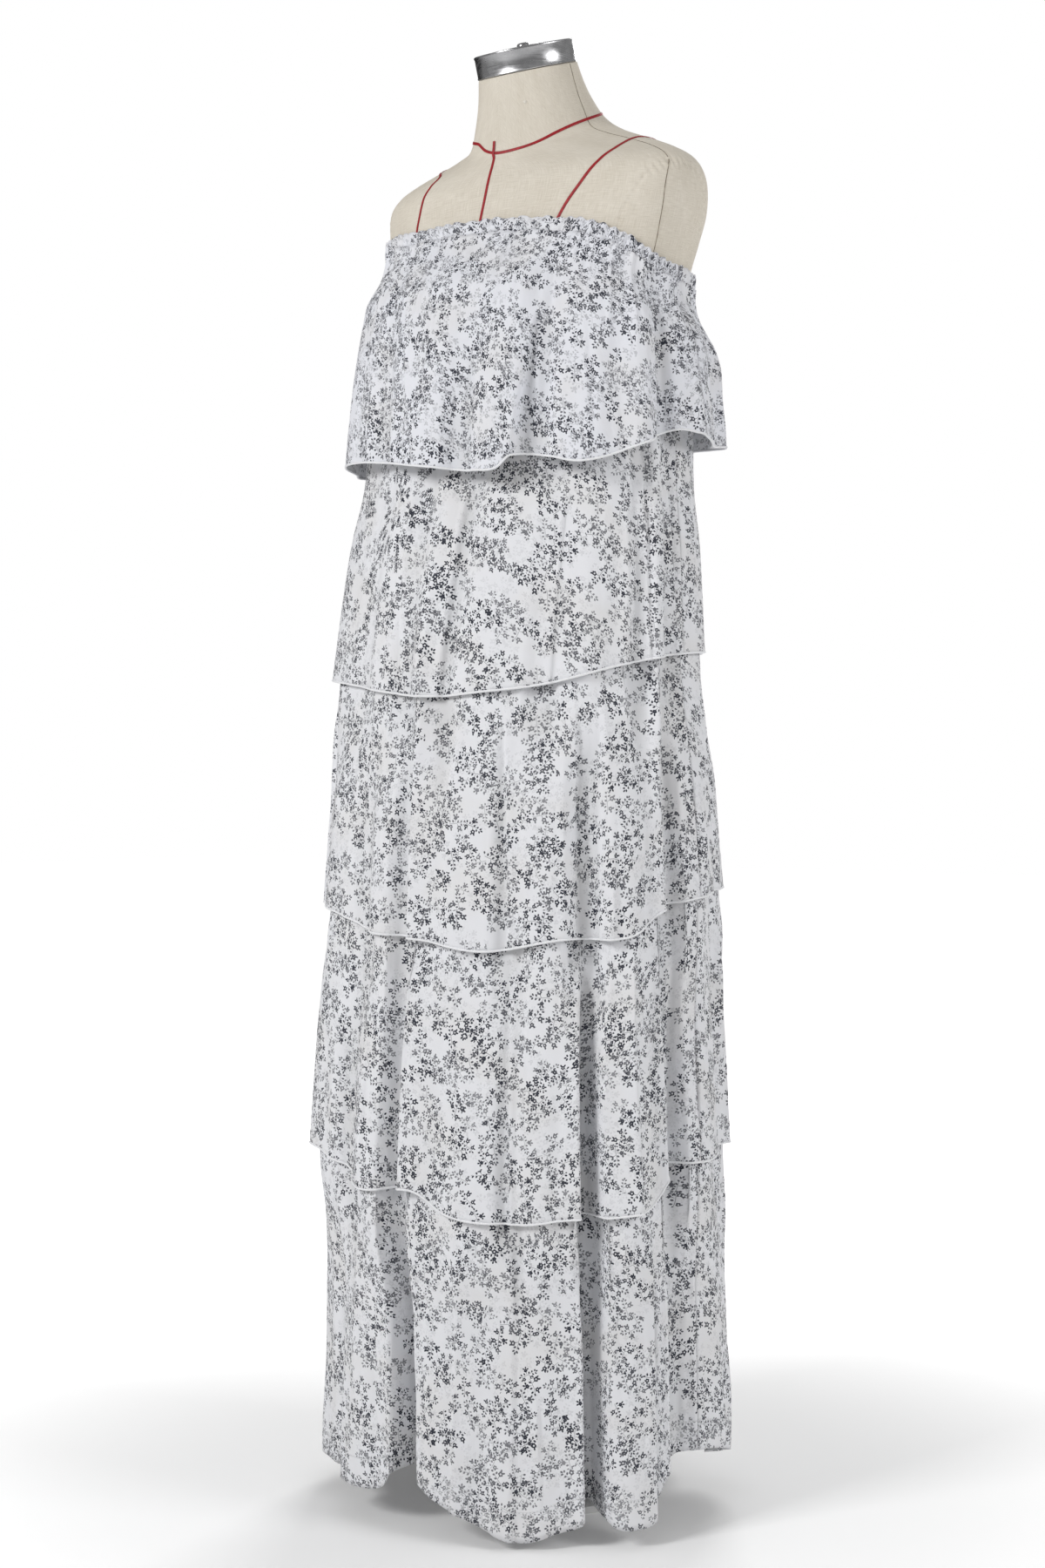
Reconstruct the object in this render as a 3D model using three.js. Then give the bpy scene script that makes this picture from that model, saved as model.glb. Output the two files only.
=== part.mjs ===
// Strapless maxi dress of five ruffled tiers on a limbless dress form with a pole and a round plate.
// Millimetres, +Z up, the front looks to -Y, the plate stands on Z = 0.
// A turn is an angle round the dress in degrees: 0 at the centre front, 90 at the +X side.
import * as THREE from 'three';

// Cloth
const WALL = 1.5;
const SEAM = 0.3;
const SIDE_SEAM = 0.5;
const FLOUNCE_LIFT = 4.4;
const BODY_LIFT = 2.4;
const FLOUNCE_EASE = 60;
const BODY_EASE = 90;
const TIER_EASE = 130;
const HEM_SLACK = 3.5;

// Elastic casing round the top edge
const CASING_HEIGHT = 12;
const CASING_LIFT = 0.5;
const CASING_DEPTH = 4.2;
const CASING_GATHERS = 80;
const GATHER_DEPTH = 2.6;
const GATHER_STEPS = 4;
const FRILL_HEIGHT = 1.2;

// Small gathers that fade out down the flounce
const FLOUNCE_WAVES = 24;
const WAVE_DEPTH = 3;
const WAVE_FADE = 0.55;

// Dress form
const CAP_RADIUS = 49.3;
const CAP_HEIGHT = 22;
const CAP_BEVEL = 1.5;
const CAP_DOME = 2.5;
const CAP_SIDES = 48;
const TAPE_WIDTH = 3;
const TAPE_DEPTH = 0.6;
const TAPE_LIFT = 0.6;
const NECK_TAPE_LIFT = 0.95;
const TAPE_CLEAR = 0.8;
const TAPE_OVER = NECK_TAPE_LIFT + TAPE_DEPTH + SEAM;
const POLE_RADIUS = 16;
const POLE_SIDES = 24;
const PLATE_RADIUS = 105;
const PLATE_HEIGHT = 7;
const PLATE_BEVEL = 2;
const PLATE_SIDES = 48;

// Fineness of the solids
const FLOUNCE_COLUMNS = 48;
const FRONT_COLUMNS = 44;
const BACK_COLUMNS = 36;
const TORSO_COLUMNS = 44;
const TORSO_FINE_STEP = 0.5;
const NECK_TAPE_STEPS = 44;
const TAPE_STEPS = 6;
const NORMAL_TURN = 0.25;
const NORMAL_STEP = 0.02;
const HALF_TURN = 180;
const FULL_TURN = 360;

// Rings of the torso from its underside to the neck, each leaning forward by its tilt in degrees.
// power 2 is an ellipse, more is squarer, less is more pointed at the sides.
const TORSO_RINGS = [
  { z: 674, y: -8, halfX: 144, halfY: 94, tilt: 0, power: 2 },
  { z: 734, y: -7, halfX: 157, halfY: 102, tilt: 0, power: 2 },
  { z: 789, y: -6, halfX: 160, halfY: 104, tilt: 0, power: 2 },
  { z: 874, y: -4, halfX: 148, halfY: 98, tilt: 0, power: 2 },
  { z: 974, y: -2, halfX: 122, halfY: 87, tilt: 0, power: 2 },
  { z: 1064, y: -4, halfX: 138, halfY: 98, tilt: 0, power: 2 },
  { z: 1139, y: -7, halfX: 155, halfY: 112, tilt: 0, power: 2 },
  { z: 1179, y: -3, halfX: 161, halfY: 110, tilt: 0, power: 2 },
  { z: 1209, y: 2, halfX: 168, halfY: 105, tilt: 0, power: 2.1 },
  { z: 1239, y: 5, halfX: 175, halfY: 99, tilt: 0, power: 2.25 },
  { z: 1266, y: 5, halfX: 176, halfY: 92, tilt: 2, power: 2.3 },
  { z: 1284, y: 4, halfX: 168, halfY: 86, tilt: 6, power: 2.15 },
  { z: 1297, y: 2, halfX: 148, halfY: 81, tilt: 10, power: 1.95 },
  { z: 1309, y: -1, halfX: 118, halfY: 77, tilt: 15, power: 1.8 },
  { z: 1319, y: -3, halfX: 88, halfY: 74, tilt: 19, power: 1.85 },
  { z: 1329, y: -6, halfX: 66, halfY: 72, tilt: 23, power: 2 },
  { z: 1348, y: -12, halfX: 57, halfY: 63, tilt: 22, power: 2 },
  { z: 1367, y: -17, halfX: 52, halfY: 55, tilt: 20, power: 2 },
  { z: 1387, y: -22.5, halfX: 49, halfY: 49, tilt: 18, power: 2 },
];
const BUST_RING = 6;
const TORSO_UNDERSIDE = TORSO_RINGS[0].z;

// Height of the neckline, by turn: it dips under the arms and at the back.
const NECKLINE = [
  { turn: -150, z: 1190 },
  { turn: -110, z: 1200 },
  { turn: -60, z: 1231 },
  { turn: -25, z: 1229 },
  { turn: 5, z: 1225 },
  { turn: 35, z: 1217 },
  { turn: 55, z: 1204 },
  { turn: 80, z: 1181 },
  { turn: 115, z: 1177 },
  { turn: 150, z: 1180 },
  { turn: 180, z: 1182 },
];

// The ring of the torso, as a step, just above the casing at a turn.
const NUMBERED_RINGS = TORSO_RINGS.map((ring, step) => ({ ...ring, step }));
function aboveNeckline(turn) {
  const clear = around(NECKLINE, 'z', turn) + FRILL_HEIGHT + TAPE_CLEAR;
  return along(NUMBERED_RINGS, 'z', 'step', clear);
}

// Style tapes on the torso: a step counts the torso's rings, and lift is the gap under the tape.
const NECK_TAPE = [
  { turn: -170, step: 15.1 },
  { turn: -90, step: 15.3 },
  { turn: -28, step: 15.4 },
  { turn: -10, step: 14.95 },
  { turn: 5, step: 14.5 },
  { turn: 20, step: 14.6 },
  { turn: 55, step: 15.15 },
  { turn: 90, step: 15.3 },
];
const CENTRE_FRONT_TAPE = [
  { at: 0, turn: 0, step: aboveNeckline(0), lift: TAPE_LIFT },
  { at: 1, turn: 0, step: 10.5, lift: TAPE_LIFT },
  { at: 2, turn: -1, step: 13.2, lift: TAPE_LIFT },
  { at: 3, turn: -2.5, step: 14.2, lift: TAPE_OVER },
  { at: 4, turn: -2.5, step: 15.4, lift: TAPE_OVER },
];
const CENTRE_BACK_TAPE = [
  { at: 0, turn: 180, step: aboveNeckline(180), lift: TAPE_LIFT },
  { at: 1, turn: 180, step: 9, lift: TAPE_LIFT },
  { at: 2, turn: 180, step: 12, lift: TAPE_LIFT },
  { at: 3, turn: 180, step: 14.75, lift: TAPE_LIFT },
];
const LEFT_PRINCESS_TAPE = [
  { at: 0, turn: 28, step: aboveNeckline(28), lift: TAPE_LIFT },
  { at: 1, turn: 31, step: 9.2, lift: TAPE_LIFT },
  { at: 2, turn: 44, step: 11.2, lift: TAPE_LIFT },
  { at: 3, turn: 64, step: 12.5, lift: TAPE_LIFT },
  { at: 4, turn: 90, step: 13, lift: TAPE_LIFT },
  { at: 5, turn: 122, step: 12.4, lift: TAPE_LIFT },
  { at: 6, turn: 141, step: 11, lift: TAPE_LIFT },
  { at: 7, turn: 148, step: 9.5, lift: TAPE_LIFT },
  { at: 8, turn: 151, step: aboveNeckline(151), lift: TAPE_LIFT },
];
const RIGHT_PRINCESS_TAPE = [
  { at: 0, turn: -29, step: aboveNeckline(-29), lift: TAPE_LIFT },
  { at: 1, turn: -26, step: 9.8, lift: TAPE_LIFT },
  { at: 2, turn: -29, step: 11.3, lift: TAPE_LIFT },
  { at: 3, turn: -42, step: 12.8, lift: TAPE_LIFT },
  { at: 4, turn: -90, step: 13.7, lift: TAPE_LIFT },
  { at: 5, turn: -125, step: 12.8, lift: TAPE_LIFT },
  { at: 6, turn: -141, step: 11, lift: TAPE_LIFT },
  { at: 7, turn: -148, step: 9.5, lift: TAPE_LIFT },
  { at: 8, turn: -151, step: aboveNeckline(-151), lift: TAPE_LIFT },
];

// Each tier: rings down its length, the height of its hem by turn, and its folds.
// A fold runs from turnTop to turnHem, is two halves wide in degrees, and stands out (+) or in (-) in mm.
const FLOUNCE = {
  name: 'tier_1',
  top: 1214,
  drop: 215,
  rows: 5,
  rings: [
    { z: 934, halfX: 197, halfY: 157, y: -12 },
    { z: 1004, halfX: 195, halfY: 155, y: -12 },
    { z: 1085, halfX: 188, halfY: 147, y: -12 },
    { z: 1159, halfX: 178, halfY: 132, y: -9 },
    { z: 1234, halfX: 172, halfY: 112, y: 2 },
  ],
  hem: [
    { turn: -150, z: 1014 },
    { turn: -110, z: 1006 },
    { turn: -79, z: 1001 },
    { turn: -45, z: 1003 },
    { turn: -24, z: 997 },
    { turn: -1, z: 985 },
    { turn: 21, z: 977 },
    { turn: 31, z: 992 },
    { turn: 45, z: 984 },
    { turn: 66, z: 1004 },
    { turn: 80, z: 1018 },
    { turn: 99, z: 1009 },
    { turn: 125, z: 1016 },
    { turn: 155, z: 1021 },
    { turn: 180, z: 1019 },
  ],
  folds: [
    { turnTop: -54, turnHem: -51, half: 18, top: 6, hem: 7 },
    { turnTop: -26, turnHem: -25, half: 9, top: 0, hem: -9 },
    { turnTop: -3, turnHem: -2, half: 9, top: 0, hem: 6 },
    { turnTop: 7, turnHem: 8, half: 7, top: 0, hem: -5 },
    { turnTop: 23, turnHem: 19, half: 9, top: 1, hem: 11 },
    { turnTop: 33, turnHem: 31, half: 8, top: -1, hem: -12 },
    { turnTop: 48, turnHem: 46, half: 11, top: 1, hem: 7 },
    { turnTop: 63, turnHem: 63, half: 8, top: 1, hem: 8 },
    { turnTop: 72, turnHem: 73, half: 8, top: -1, hem: -12 },
    { turnTop: 91, turnHem: 90, half: 12, top: 0, hem: 8 },
    { turnTop: 109, turnHem: 110, half: 10, top: 0, hem: -9 },
    { turnTop: 128, turnHem: 128, half: 10, top: 0, hem: 8 },
    { turnTop: 145, turnHem: 147, half: 11, top: 0, hem: -10 },
    { turnTop: 167, turnHem: 166, half: 11, top: 0, hem: 9 },
    { turnTop: -174, turnHem: -175, half: 10, top: 0, hem: -8 },
    { turnTop: -156, turnHem: -157, half: 11, top: 0, hem: 9 },
    { turnTop: -137, turnHem: -136, half: 10, top: 0, hem: -9 },
    { turnTop: -118, turnHem: -117, half: 10, top: 0, hem: 8 },
    { turnTop: -98, turnHem: -99, half: 10, top: 0, hem: -8 },
    { turnTop: -78, turnHem: -77, half: 9, top: 0, hem: 6 },
  ],
};

const BODY = {
  name: 'tier_2',
  top: 1214,
  drop: 428,
  rows: 5,
  rings: [
    { z: 694, halfX: 195, halfY: 160, y: -29 },
    { z: 804, halfX: 187, halfY: 152, y: -28 },
    { z: 914, halfX: 180, halfY: 140, y: -23 },
    { z: 978, halfX: 173, halfY: 128, y: -20 },
    { z: 1085, halfX: 171, halfY: 126, y: -13 },
    { z: 1144, halfX: 169, halfY: 124, y: -9 },
    { z: 1234, halfX: 168, halfY: 108, y: 2 },
  ],
  hem: [
    { turn: -150, z: 816 },
    { turn: -100, z: 806 },
    { turn: -45, z: 788 },
    { turn: -20, z: 778 },
    { turn: 0, z: 771 },
    { turn: 20, z: 774 },
    { turn: 40, z: 782 },
    { turn: 60, z: 797 },
    { turn: 89, z: 811 },
    { turn: 130, z: 817 },
    { turn: 180, z: 820 },
  ],
  folds: [
    { turnTop: -30, turnHem: -31, half: 10, top: 0, hem: -4 },
    { turnTop: -6, turnHem: -9, half: 8, top: 0, hem: -7 },
    { turnTop: 2, turnHem: -1, half: 8, top: 0, hem: 5 },
    { turnTop: 16, turnHem: 5, half: 8, top: -1, hem: -6 },
    { turnTop: 27, turnHem: 20, half: 11, top: 1, hem: 6 },
    { turnTop: 43, turnHem: 37, half: 8, top: -1, hem: -7 },
    { turnTop: 55, turnHem: 50, half: 11, top: 0, hem: 5 },
    { turnTop: 69, turnHem: 70, half: 7, top: -1, hem: -9 },
    { turnTop: 77, turnHem: 77, half: 6, top: 0, hem: 4 },
    { turnTop: 85, turnHem: 84, half: 7, top: -1, hem: -9 },
    { turnTop: 101, turnHem: 101, half: 13, top: 0, hem: 5 },
    { turnTop: 122, turnHem: 120, half: 14, top: -10, hem: -8 },
    { turnTop: 138, turnHem: 139, half: 11, top: 0, hem: 6 },
    { turnTop: 157, turnHem: 156, half: 11, top: 0, hem: -8 },
    { turnTop: 177, turnHem: 177, half: 12, top: 0, hem: 6 },
    { turnTop: -163, turnHem: -162, half: 11, top: 0, hem: -8 },
    { turnTop: -143, turnHem: -144, half: 12, top: 0, hem: 6 },
    { turnTop: -122, turnHem: -121, half: 11, top: 0, hem: -7 },
    { turnTop: -101, turnHem: -102, half: 11, top: 0, hem: 5 },
    { turnTop: -80, turnHem: -79, half: 11, top: 0, hem: -7 },
    { turnTop: -56, turnHem: -55, half: 17, top: 1, hem: 11 },
  ],
};

const HIP_TIER = {
  name: 'tier_3',
  top: 850,
  drop: 296,
  rows: 2,
  rings: [
    { z: 464, halfX: 207, halfY: 172, y: -31 },
    { z: 579, halfX: 203, halfY: 168, y: -31 },
    { z: 674, halfX: 197, halfY: 161, y: -31 },
    { z: 764, halfX: 191, halfY: 153, y: -31 },
    { z: 854, halfX: 184, halfY: 148, y: -28 },
  ],
  hem: [
    { turn: -150, z: 590 },
    { turn: -95, z: 585 },
    { turn: -36, z: 568 },
    { turn: -20, z: 554 },
    { turn: 4, z: 547 },
    { turn: 22, z: 538 },
    { turn: 42, z: 549 },
    { turn: 62, z: 552 },
    { turn: 75, z: 575 },
    { turn: 96, z: 587 },
    { turn: 130, z: 590 },
    { turn: 180, z: 594 },
  ],
  folds: [
    { turnTop: -40, turnHem: -42, half: 14, top: 2, hem: 6 },
    { turnTop: -24, turnHem: -22, half: 9, top: -3, hem: -7 },
    { turnTop: -10, turnHem: -11, half: 8, top: 2, hem: 5 },
    { turnTop: 2, turnHem: 2, half: 7, top: -5, hem: -8 },
    { turnTop: 15, turnHem: 14, half: 10, top: 3, hem: 6 },
    { turnTop: 28, turnHem: 28, half: 7, top: -4, hem: -6 },
    { turnTop: 38, turnHem: 38, half: 8, top: 3, hem: 5 },
    { turnTop: 49, turnHem: 50, half: 8, top: -7, hem: -15 },
    { turnTop: 62, turnHem: 63, half: 9, top: 4, hem: 8 },
    { turnTop: 74, turnHem: 75, half: 7, top: -8, hem: -15 },
    { turnTop: 91, turnHem: 92, half: 12, top: 3, hem: 6 },
    { turnTop: 110, turnHem: 111, half: 10, top: -5, hem: -11 },
    { turnTop: 129, turnHem: 130, half: 10, top: 3, hem: 7 },
    { turnTop: 148, turnHem: 148, half: 10, top: -5, hem: -12 },
    { turnTop: 168, turnHem: 167, half: 11, top: 3, hem: 8 },
    { turnTop: -172, turnHem: -173, half: 10, top: -5, hem: -11 },
    { turnTop: -152, turnHem: -151, half: 11, top: 3, hem: 8 },
    { turnTop: -132, turnHem: -131, half: 10, top: -5, hem: -12 },
    { turnTop: -112, turnHem: -111, half: 11, top: 3, hem: 7 },
    { turnTop: -91, turnHem: -92, half: 10, top: -5, hem: -11 },
    { turnTop: -70, turnHem: -70, half: 11, top: 3, hem: 5 },
  ],
};

const KNEE_TIER = {
  name: 'tier_4',
  top: 622,
  drop: 300,
  rows: 2,
  rings: [
    { z: 234, halfX: 211, halfY: 178, y: -35 },
    { z: 349, halfX: 208, halfY: 175, y: -36 },
    { z: 434, halfX: 204, halfY: 170, y: -36 },
    { z: 527, halfX: 199, halfY: 165, y: -35 },
    { z: 634, halfX: 197, halfY: 160, y: -32 },
  ],
  hem: [
    { turn: -150, z: 352 },
    { turn: -95, z: 348 },
    { turn: -41, z: 341 },
    { turn: -26, z: 326 },
    { turn: -14, z: 314 },
    { turn: 3, z: 319 },
    { turn: 13, z: 301 },
    { turn: 28, z: 294 },
    { turn: 45, z: 299 },
    { turn: 62, z: 303 },
    { turn: 75, z: 340 },
    { turn: 92, z: 342 },
    { turn: 130, z: 348 },
    { turn: 180, z: 352 },
  ],
  folds: [
    { turnTop: -42, turnHem: -43, half: 14, top: 3, hem: 7 },
    { turnTop: -25, turnHem: -26, half: 8, top: -4, hem: -10 },
    { turnTop: -11, turnHem: -12, half: 10, top: 3, hem: 6 },
    { turnTop: 3, turnHem: 3, half: 8, top: -6, hem: -16 },
    { turnTop: 19, turnHem: 18, half: 12, top: 4, hem: 8 },
    { turnTop: 29, turnHem: 30, half: 6, top: -3, hem: -6 },
    { turnTop: 39, turnHem: 38, half: 9, top: 3, hem: 7 },
    { turnTop: 49, turnHem: 50, half: 7, top: -10, hem: -28 },
    { turnTop: 63, turnHem: 63, half: 10, top: 4, hem: 9 },
    { turnTop: 75, turnHem: 77, half: 7, top: -10, hem: -22 },
    { turnTop: 93, turnHem: 94, half: 12, top: 3, hem: 6 },
    { turnTop: 111, turnHem: 112, half: 9, top: -6, hem: -15 },
    { turnTop: 130, turnHem: 131, half: 11, top: 4, hem: 8 },
    { turnTop: 148, turnHem: 149, half: 9, top: -6, hem: -16 },
    { turnTop: 168, turnHem: 167, half: 11, top: 4, hem: 9 },
    { turnTop: -172, turnHem: -174, half: 9, top: -6, hem: -15 },
    { turnTop: -153, turnHem: -152, half: 11, top: 4, hem: 9 },
    { turnTop: -132, turnHem: -130, half: 9, top: -6, hem: -16 },
    { turnTop: -111, turnHem: -110, half: 11, top: 4, hem: 8 },
    { turnTop: -91, turnHem: -90, half: 9, top: -6, hem: -14 },
    { turnTop: -70, turnHem: -70, half: 11, top: 3, hem: 5 },
  ],
};

const HEM_TIER = {
  name: 'tier_5',
  top: 380,
  drop: 350,
  rows: 4,
  rings: [
    { z: -26, halfX: 203, halfY: 173, y: -23 },
    { z: 44, halfX: 202, halfY: 171, y: -24 },
    { z: 174, halfX: 200, halfY: 169, y: -26 },
    { z: 291, halfX: 199, halfY: 166, y: -29 },
    { z: 394, halfX: 202, halfY: 168, y: -32 },
  ],
  hem: [
    { turn: -150, z: 44 },
    { turn: -95, z: 36 },
    { turn: -45, z: 31 },
    { turn: -19, z: 30 },
    { turn: -2, z: 58 },
    { turn: 13, z: 29 },
    { turn: 22, z: 16 },
    { turn: 31, z: 7 },
    { turn: 41, z: 16 },
    { turn: 50, z: 36 },
    { turn: 59, z: 17 },
    { turn: 70, z: 24 },
    { turn: 80, z: 60 },
    { turn: 92, z: 70 },
    { turn: 106, z: 56 },
    { turn: 122, z: 42 },
    { turn: 150, z: 44 },
    { turn: 180, z: 46 },
  ],
  folds: [
    { turnTop: -38, turnHem: -38, half: 8, top: -3, hem: -7 },
    { turnTop: -21, turnHem: -23, half: 14, top: 3, hem: 10 },
    { turnTop: 0, turnHem: -2, half: 9, top: -14, hem: -56 },
    { turnTop: 11, turnHem: 10, half: 9, top: 3, hem: 6 },
    { turnTop: 27, turnHem: 26, half: 15, top: 4, hem: 9 },
    { turnTop: 37, turnHem: 37, half: 9, top: 2, hem: 7 },
    { turnTop: 49, turnHem: 49, half: 8, top: -16, hem: -44 },
    { turnTop: 62, turnHem: 63, half: 11, top: 5, hem: 13 },
    { turnTop: 74, turnHem: 75, half: 6, top: -4, hem: -7 },
    { turnTop: 83, turnHem: 84, half: 8, top: -10, hem: -20 },
    { turnTop: 100, turnHem: 101, half: 12, top: 3, hem: 8 },
    { turnTop: 118, turnHem: 119, half: 9, top: -8, hem: -20 },
    { turnTop: 136, turnHem: 137, half: 11, top: 4, hem: 10 },
    { turnTop: 154, turnHem: 155, half: 9, top: -8, hem: -21 },
    { turnTop: 173, turnHem: 173, half: 11, top: 4, hem: 11 },
    { turnTop: -168, turnHem: -168, half: 9, top: -8, hem: -20 },
    { turnTop: -149, turnHem: -149, half: 11, top: 4, hem: 10 },
    { turnTop: -130, turnHem: -130, half: 9, top: -8, hem: -21 },
    { turnTop: -110, turnHem: -111, half: 11, top: 4, hem: 10 },
    { turnTop: -91, turnHem: -91, half: 9, top: -7, hem: -18 },
    { turnTop: -57, turnHem: -58, half: 15, top: 6, hem: 9 },
  ],
};
const TIERS = [FLOUNCE, BODY, HIP_TIER, KNEE_TIER, HEM_TIER];

// Finishes
const chiffon = new THREE.MeshStandardMaterial({ color: '#e9ebf0', roughness: 0.85, metalness: 0 });
const linen = new THREE.MeshStandardMaterial({ color: '#d9d0be', roughness: 0.9, metalness: 0 });
const tapeRed = new THREE.MeshStandardMaterial({ color: '#a51c22', roughness: 0.6, metalness: 0 });
const steel = new THREE.MeshStandardMaterial({ color: '#a9a9a9', roughness: 0.25, metalness: 1 });
const whitePaint = new THREE.MeshStandardMaterial({ color: '#ececea', roughness: 0.5, metalness: 0.1 });

const dress = new THREE.Group();
const mix = THREE.MathUtils.lerp;
const soften = THREE.MathUtils.smoothstep;

function addMesh(name, geometry, material) {
  const mesh = new THREE.Mesh(geometry, material);
  mesh.name = name;
  dress.add(mesh);
  return mesh;
}

// Smooth value of a column between the rows of a table, held flat past both ends.
function along(rows, key, column, place) {
  const last = rows.length - 1;
  if (place <= rows[0][key]) {
    return rows[0][column];
  }
  if (place >= rows[last][key]) {
    return rows[last][column];
  }
  const next = rows.findIndex((row) => row[key] > place);
  const here = next - 1;
  const slope = (row) => {
    const low = rows[Math.max(row - 1, 0)];
    const high = rows[Math.min(row + 1, last)];
    return (high[column] - low[column]) / (high[key] - low[key]);
  };
  const span = rows[next][key] - rows[here][key];
  const t = (place - rows[here][key]) / span;
  const rise = rows[next][column] - rows[here][column];
  const startBend = slope(here) * span - rise;
  const endBend = rise - slope(next) * span;
  const bend = t * (1 - t) * (startBend * (1 - t) + endBend * t);
  return rows[here][column] + rise * t + bend;
}

// The same, for a table that runs once round the dress.
function around(rows, column, turn) {
  const shifted = (by) => rows.map((row) => ({ turn: row.turn + by, [column]: row[column] }));
  const loop = [...shifted(-FULL_TURN), ...shifted(0), ...shifted(FULL_TURN)];
  return along(loop, 'turn', column, turn);
}

// Height of the neckline or of a hem at a turn, worked out once for each turn.
const knownHeights = new Map();
function heightAt(rows, turn) {
  const key = turn.toFixed(3);
  if (!knownHeights.has(rows)) {
    knownHeights.set(rows, new Map());
  }
  const known = knownHeights.get(rows);
  if (!known.has(key)) {
    known.set(key, around(rows, 'z', turn));
  }
  return known.get(key);
}

// A point on a leaning ring of the torso.
function ringPoint(ring, turn) {
  const angle = THREE.MathUtils.degToRad(turn);
  const tilt = THREE.MathUtils.degToRad(ring.tilt);
  const bulge = (value) => Math.sign(value) * Math.abs(value) ** (2 / ring.power);
  const forward = ring.halfY * bulge(Math.cos(angle));
  const x = ring.halfX * bulge(Math.sin(angle));
  return new THREE.Vector3(x, ring.y - forward * Math.cos(tilt), ring.z - forward * Math.sin(tilt));
}

// A ring of the torso between two rows of its table: step 2.5 lies midway from row 2 to row 3.
function torsoRing(step) {
  const ring = {};
  for (const column of Object.keys(TORSO_RINGS[0])) {
    ring[column] = along(NUMBERED_RINGS, 'step', column, step);
  }
  return ring;
}

function torsoPoint(turn, step) {
  return ringPoint(torsoRing(step), turn);
}

// The level ring of the torso at a height below the shoulders.
function formPoint(turn, z) {
  const ring = { z, tilt: 0 };
  for (const column of ['y', 'halfX', 'halfY', 'power']) {
    ring[column] = along(TORSO_RINGS, 'z', column, z);
  }
  return ringPoint(ring, turn);
}

// Moves a point of a level curve inwards by a distance, or outwards if it is negative.
function inset(curve, turn, distance) {
  const tangent = curve(turn + NORMAL_TURN).sub(curve(turn - NORMAL_TURN));
  const inwards = new THREE.Vector3(-tangent.y, tangent.x, 0).normalize();
  return curve(turn).addScaledVector(inwards, distance);
}

function foldPush(folds, turn, fall) {
  let push = 0;
  for (const fold of folds) {
    const middle = mix(fold.turnTop, fold.turnHem, fall);
    const away = Math.abs(THREE.MathUtils.euclideanModulo(turn - middle + HALF_TURN, FULL_TURN) - HALF_TURN);
    if (away < fold.half) {
      push += mix(fold.top, fold.hem, fall) * Math.cos((away / fold.half) * (Math.PI / 2)) ** 2;
    }
  }
  return push;
}

// The hanging form of one tier, before it is drawn in to the piece that carries it.
function hangingPoint(tier, turn, z) {
  const fall = THREE.MathUtils.clamp((tier.top - z) / tier.drop, 0, 1);
  const angle = THREE.MathUtils.degToRad(turn);
  const push = foldPush(tier.folds, turn, fall);
  const reachX = along(tier.rings, 'z', 'halfX', z) + push;
  const reachY = along(tier.rings, 'z', 'halfY', z) + push;
  const y = along(tier.rings, 'z', 'y', z) - reachY * Math.cos(angle);
  return new THREE.Vector3(reachX * Math.sin(angle), y, z);
}

function topHeight(tier, turn) {
  if (tier === FLOUNCE || tier === BODY) {
    return heightAt(NECKLINE, turn) - CASING_HEIGHT - SEAM;
  }
  return tier.top;
}

// Outer face of the flounce: drawn in to the form under the casing, in small gathers that fade out.
function flouncePoint(turn, z) {
  const below = topHeight(FLOUNCE, turn) - z;
  const held = inset((at) => formPoint(at, z), turn, -FLOUNCE_LIFT);
  const point = held.lerp(hangingPoint(FLOUNCE, turn, z), soften(below, 0, FLOUNCE_EASE));
  const fade = Math.max(0, 1 - below / (FLOUNCE.drop * WAVE_FADE));
  const angle = THREE.MathUtils.degToRad(turn);
  const wave = WAVE_DEPTH * fade * Math.sin((FLOUNCE_WAVES * angle) / 2) ** 2;
  return point.add(new THREE.Vector3(Math.sin(angle), -Math.cos(angle), 0).multiplyScalar(wave));
}

function bodyPoint(turn, z) {
  const below = topHeight(BODY, turn) - z;
  const held = inset((at) => formPoint(at, z), turn, -BODY_LIFT);
  return held.lerp(hangingPoint(BODY, turn, z), soften(below, 0, BODY_EASE));
}

// Outer face of a lower tier: seamed to the inside of the tier above, free below that tier's hem.
function skirtPoint(level, turn, z) {
  const above = TIERS[level - 1];
  const hem = heightAt(above.hem, turn);
  const slack = HEM_SLACK * soften(TIERS[level].top - z, 0, TIERS[level].top - hem);
  const held = inset((at) => tierPoint(level - 1, at, z), turn, WALL + SEAM + slack);
  return held.lerp(hangingPoint(TIERS[level], turn, z), soften(hem - z, 0, TIER_EASE));
}

function tierPoint(level, turn, z) {
  if (level === 0) {
    return flouncePoint(turn, z);
  }
  if (level === 1) {
    return bodyPoint(turn, z);
  }
  return skirtPoint(level, turn, z);
}

function faceted(points, faces) {
  const geometry = new THREE.BufferGeometry();
  geometry.setAttribute('position', new THREE.Float32BufferAttribute(points.flatMap((p) => p.toArray()), 3));
  geometry.setIndex(faces);
  geometry.computeVertexNormals();
  return geometry;
}

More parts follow.
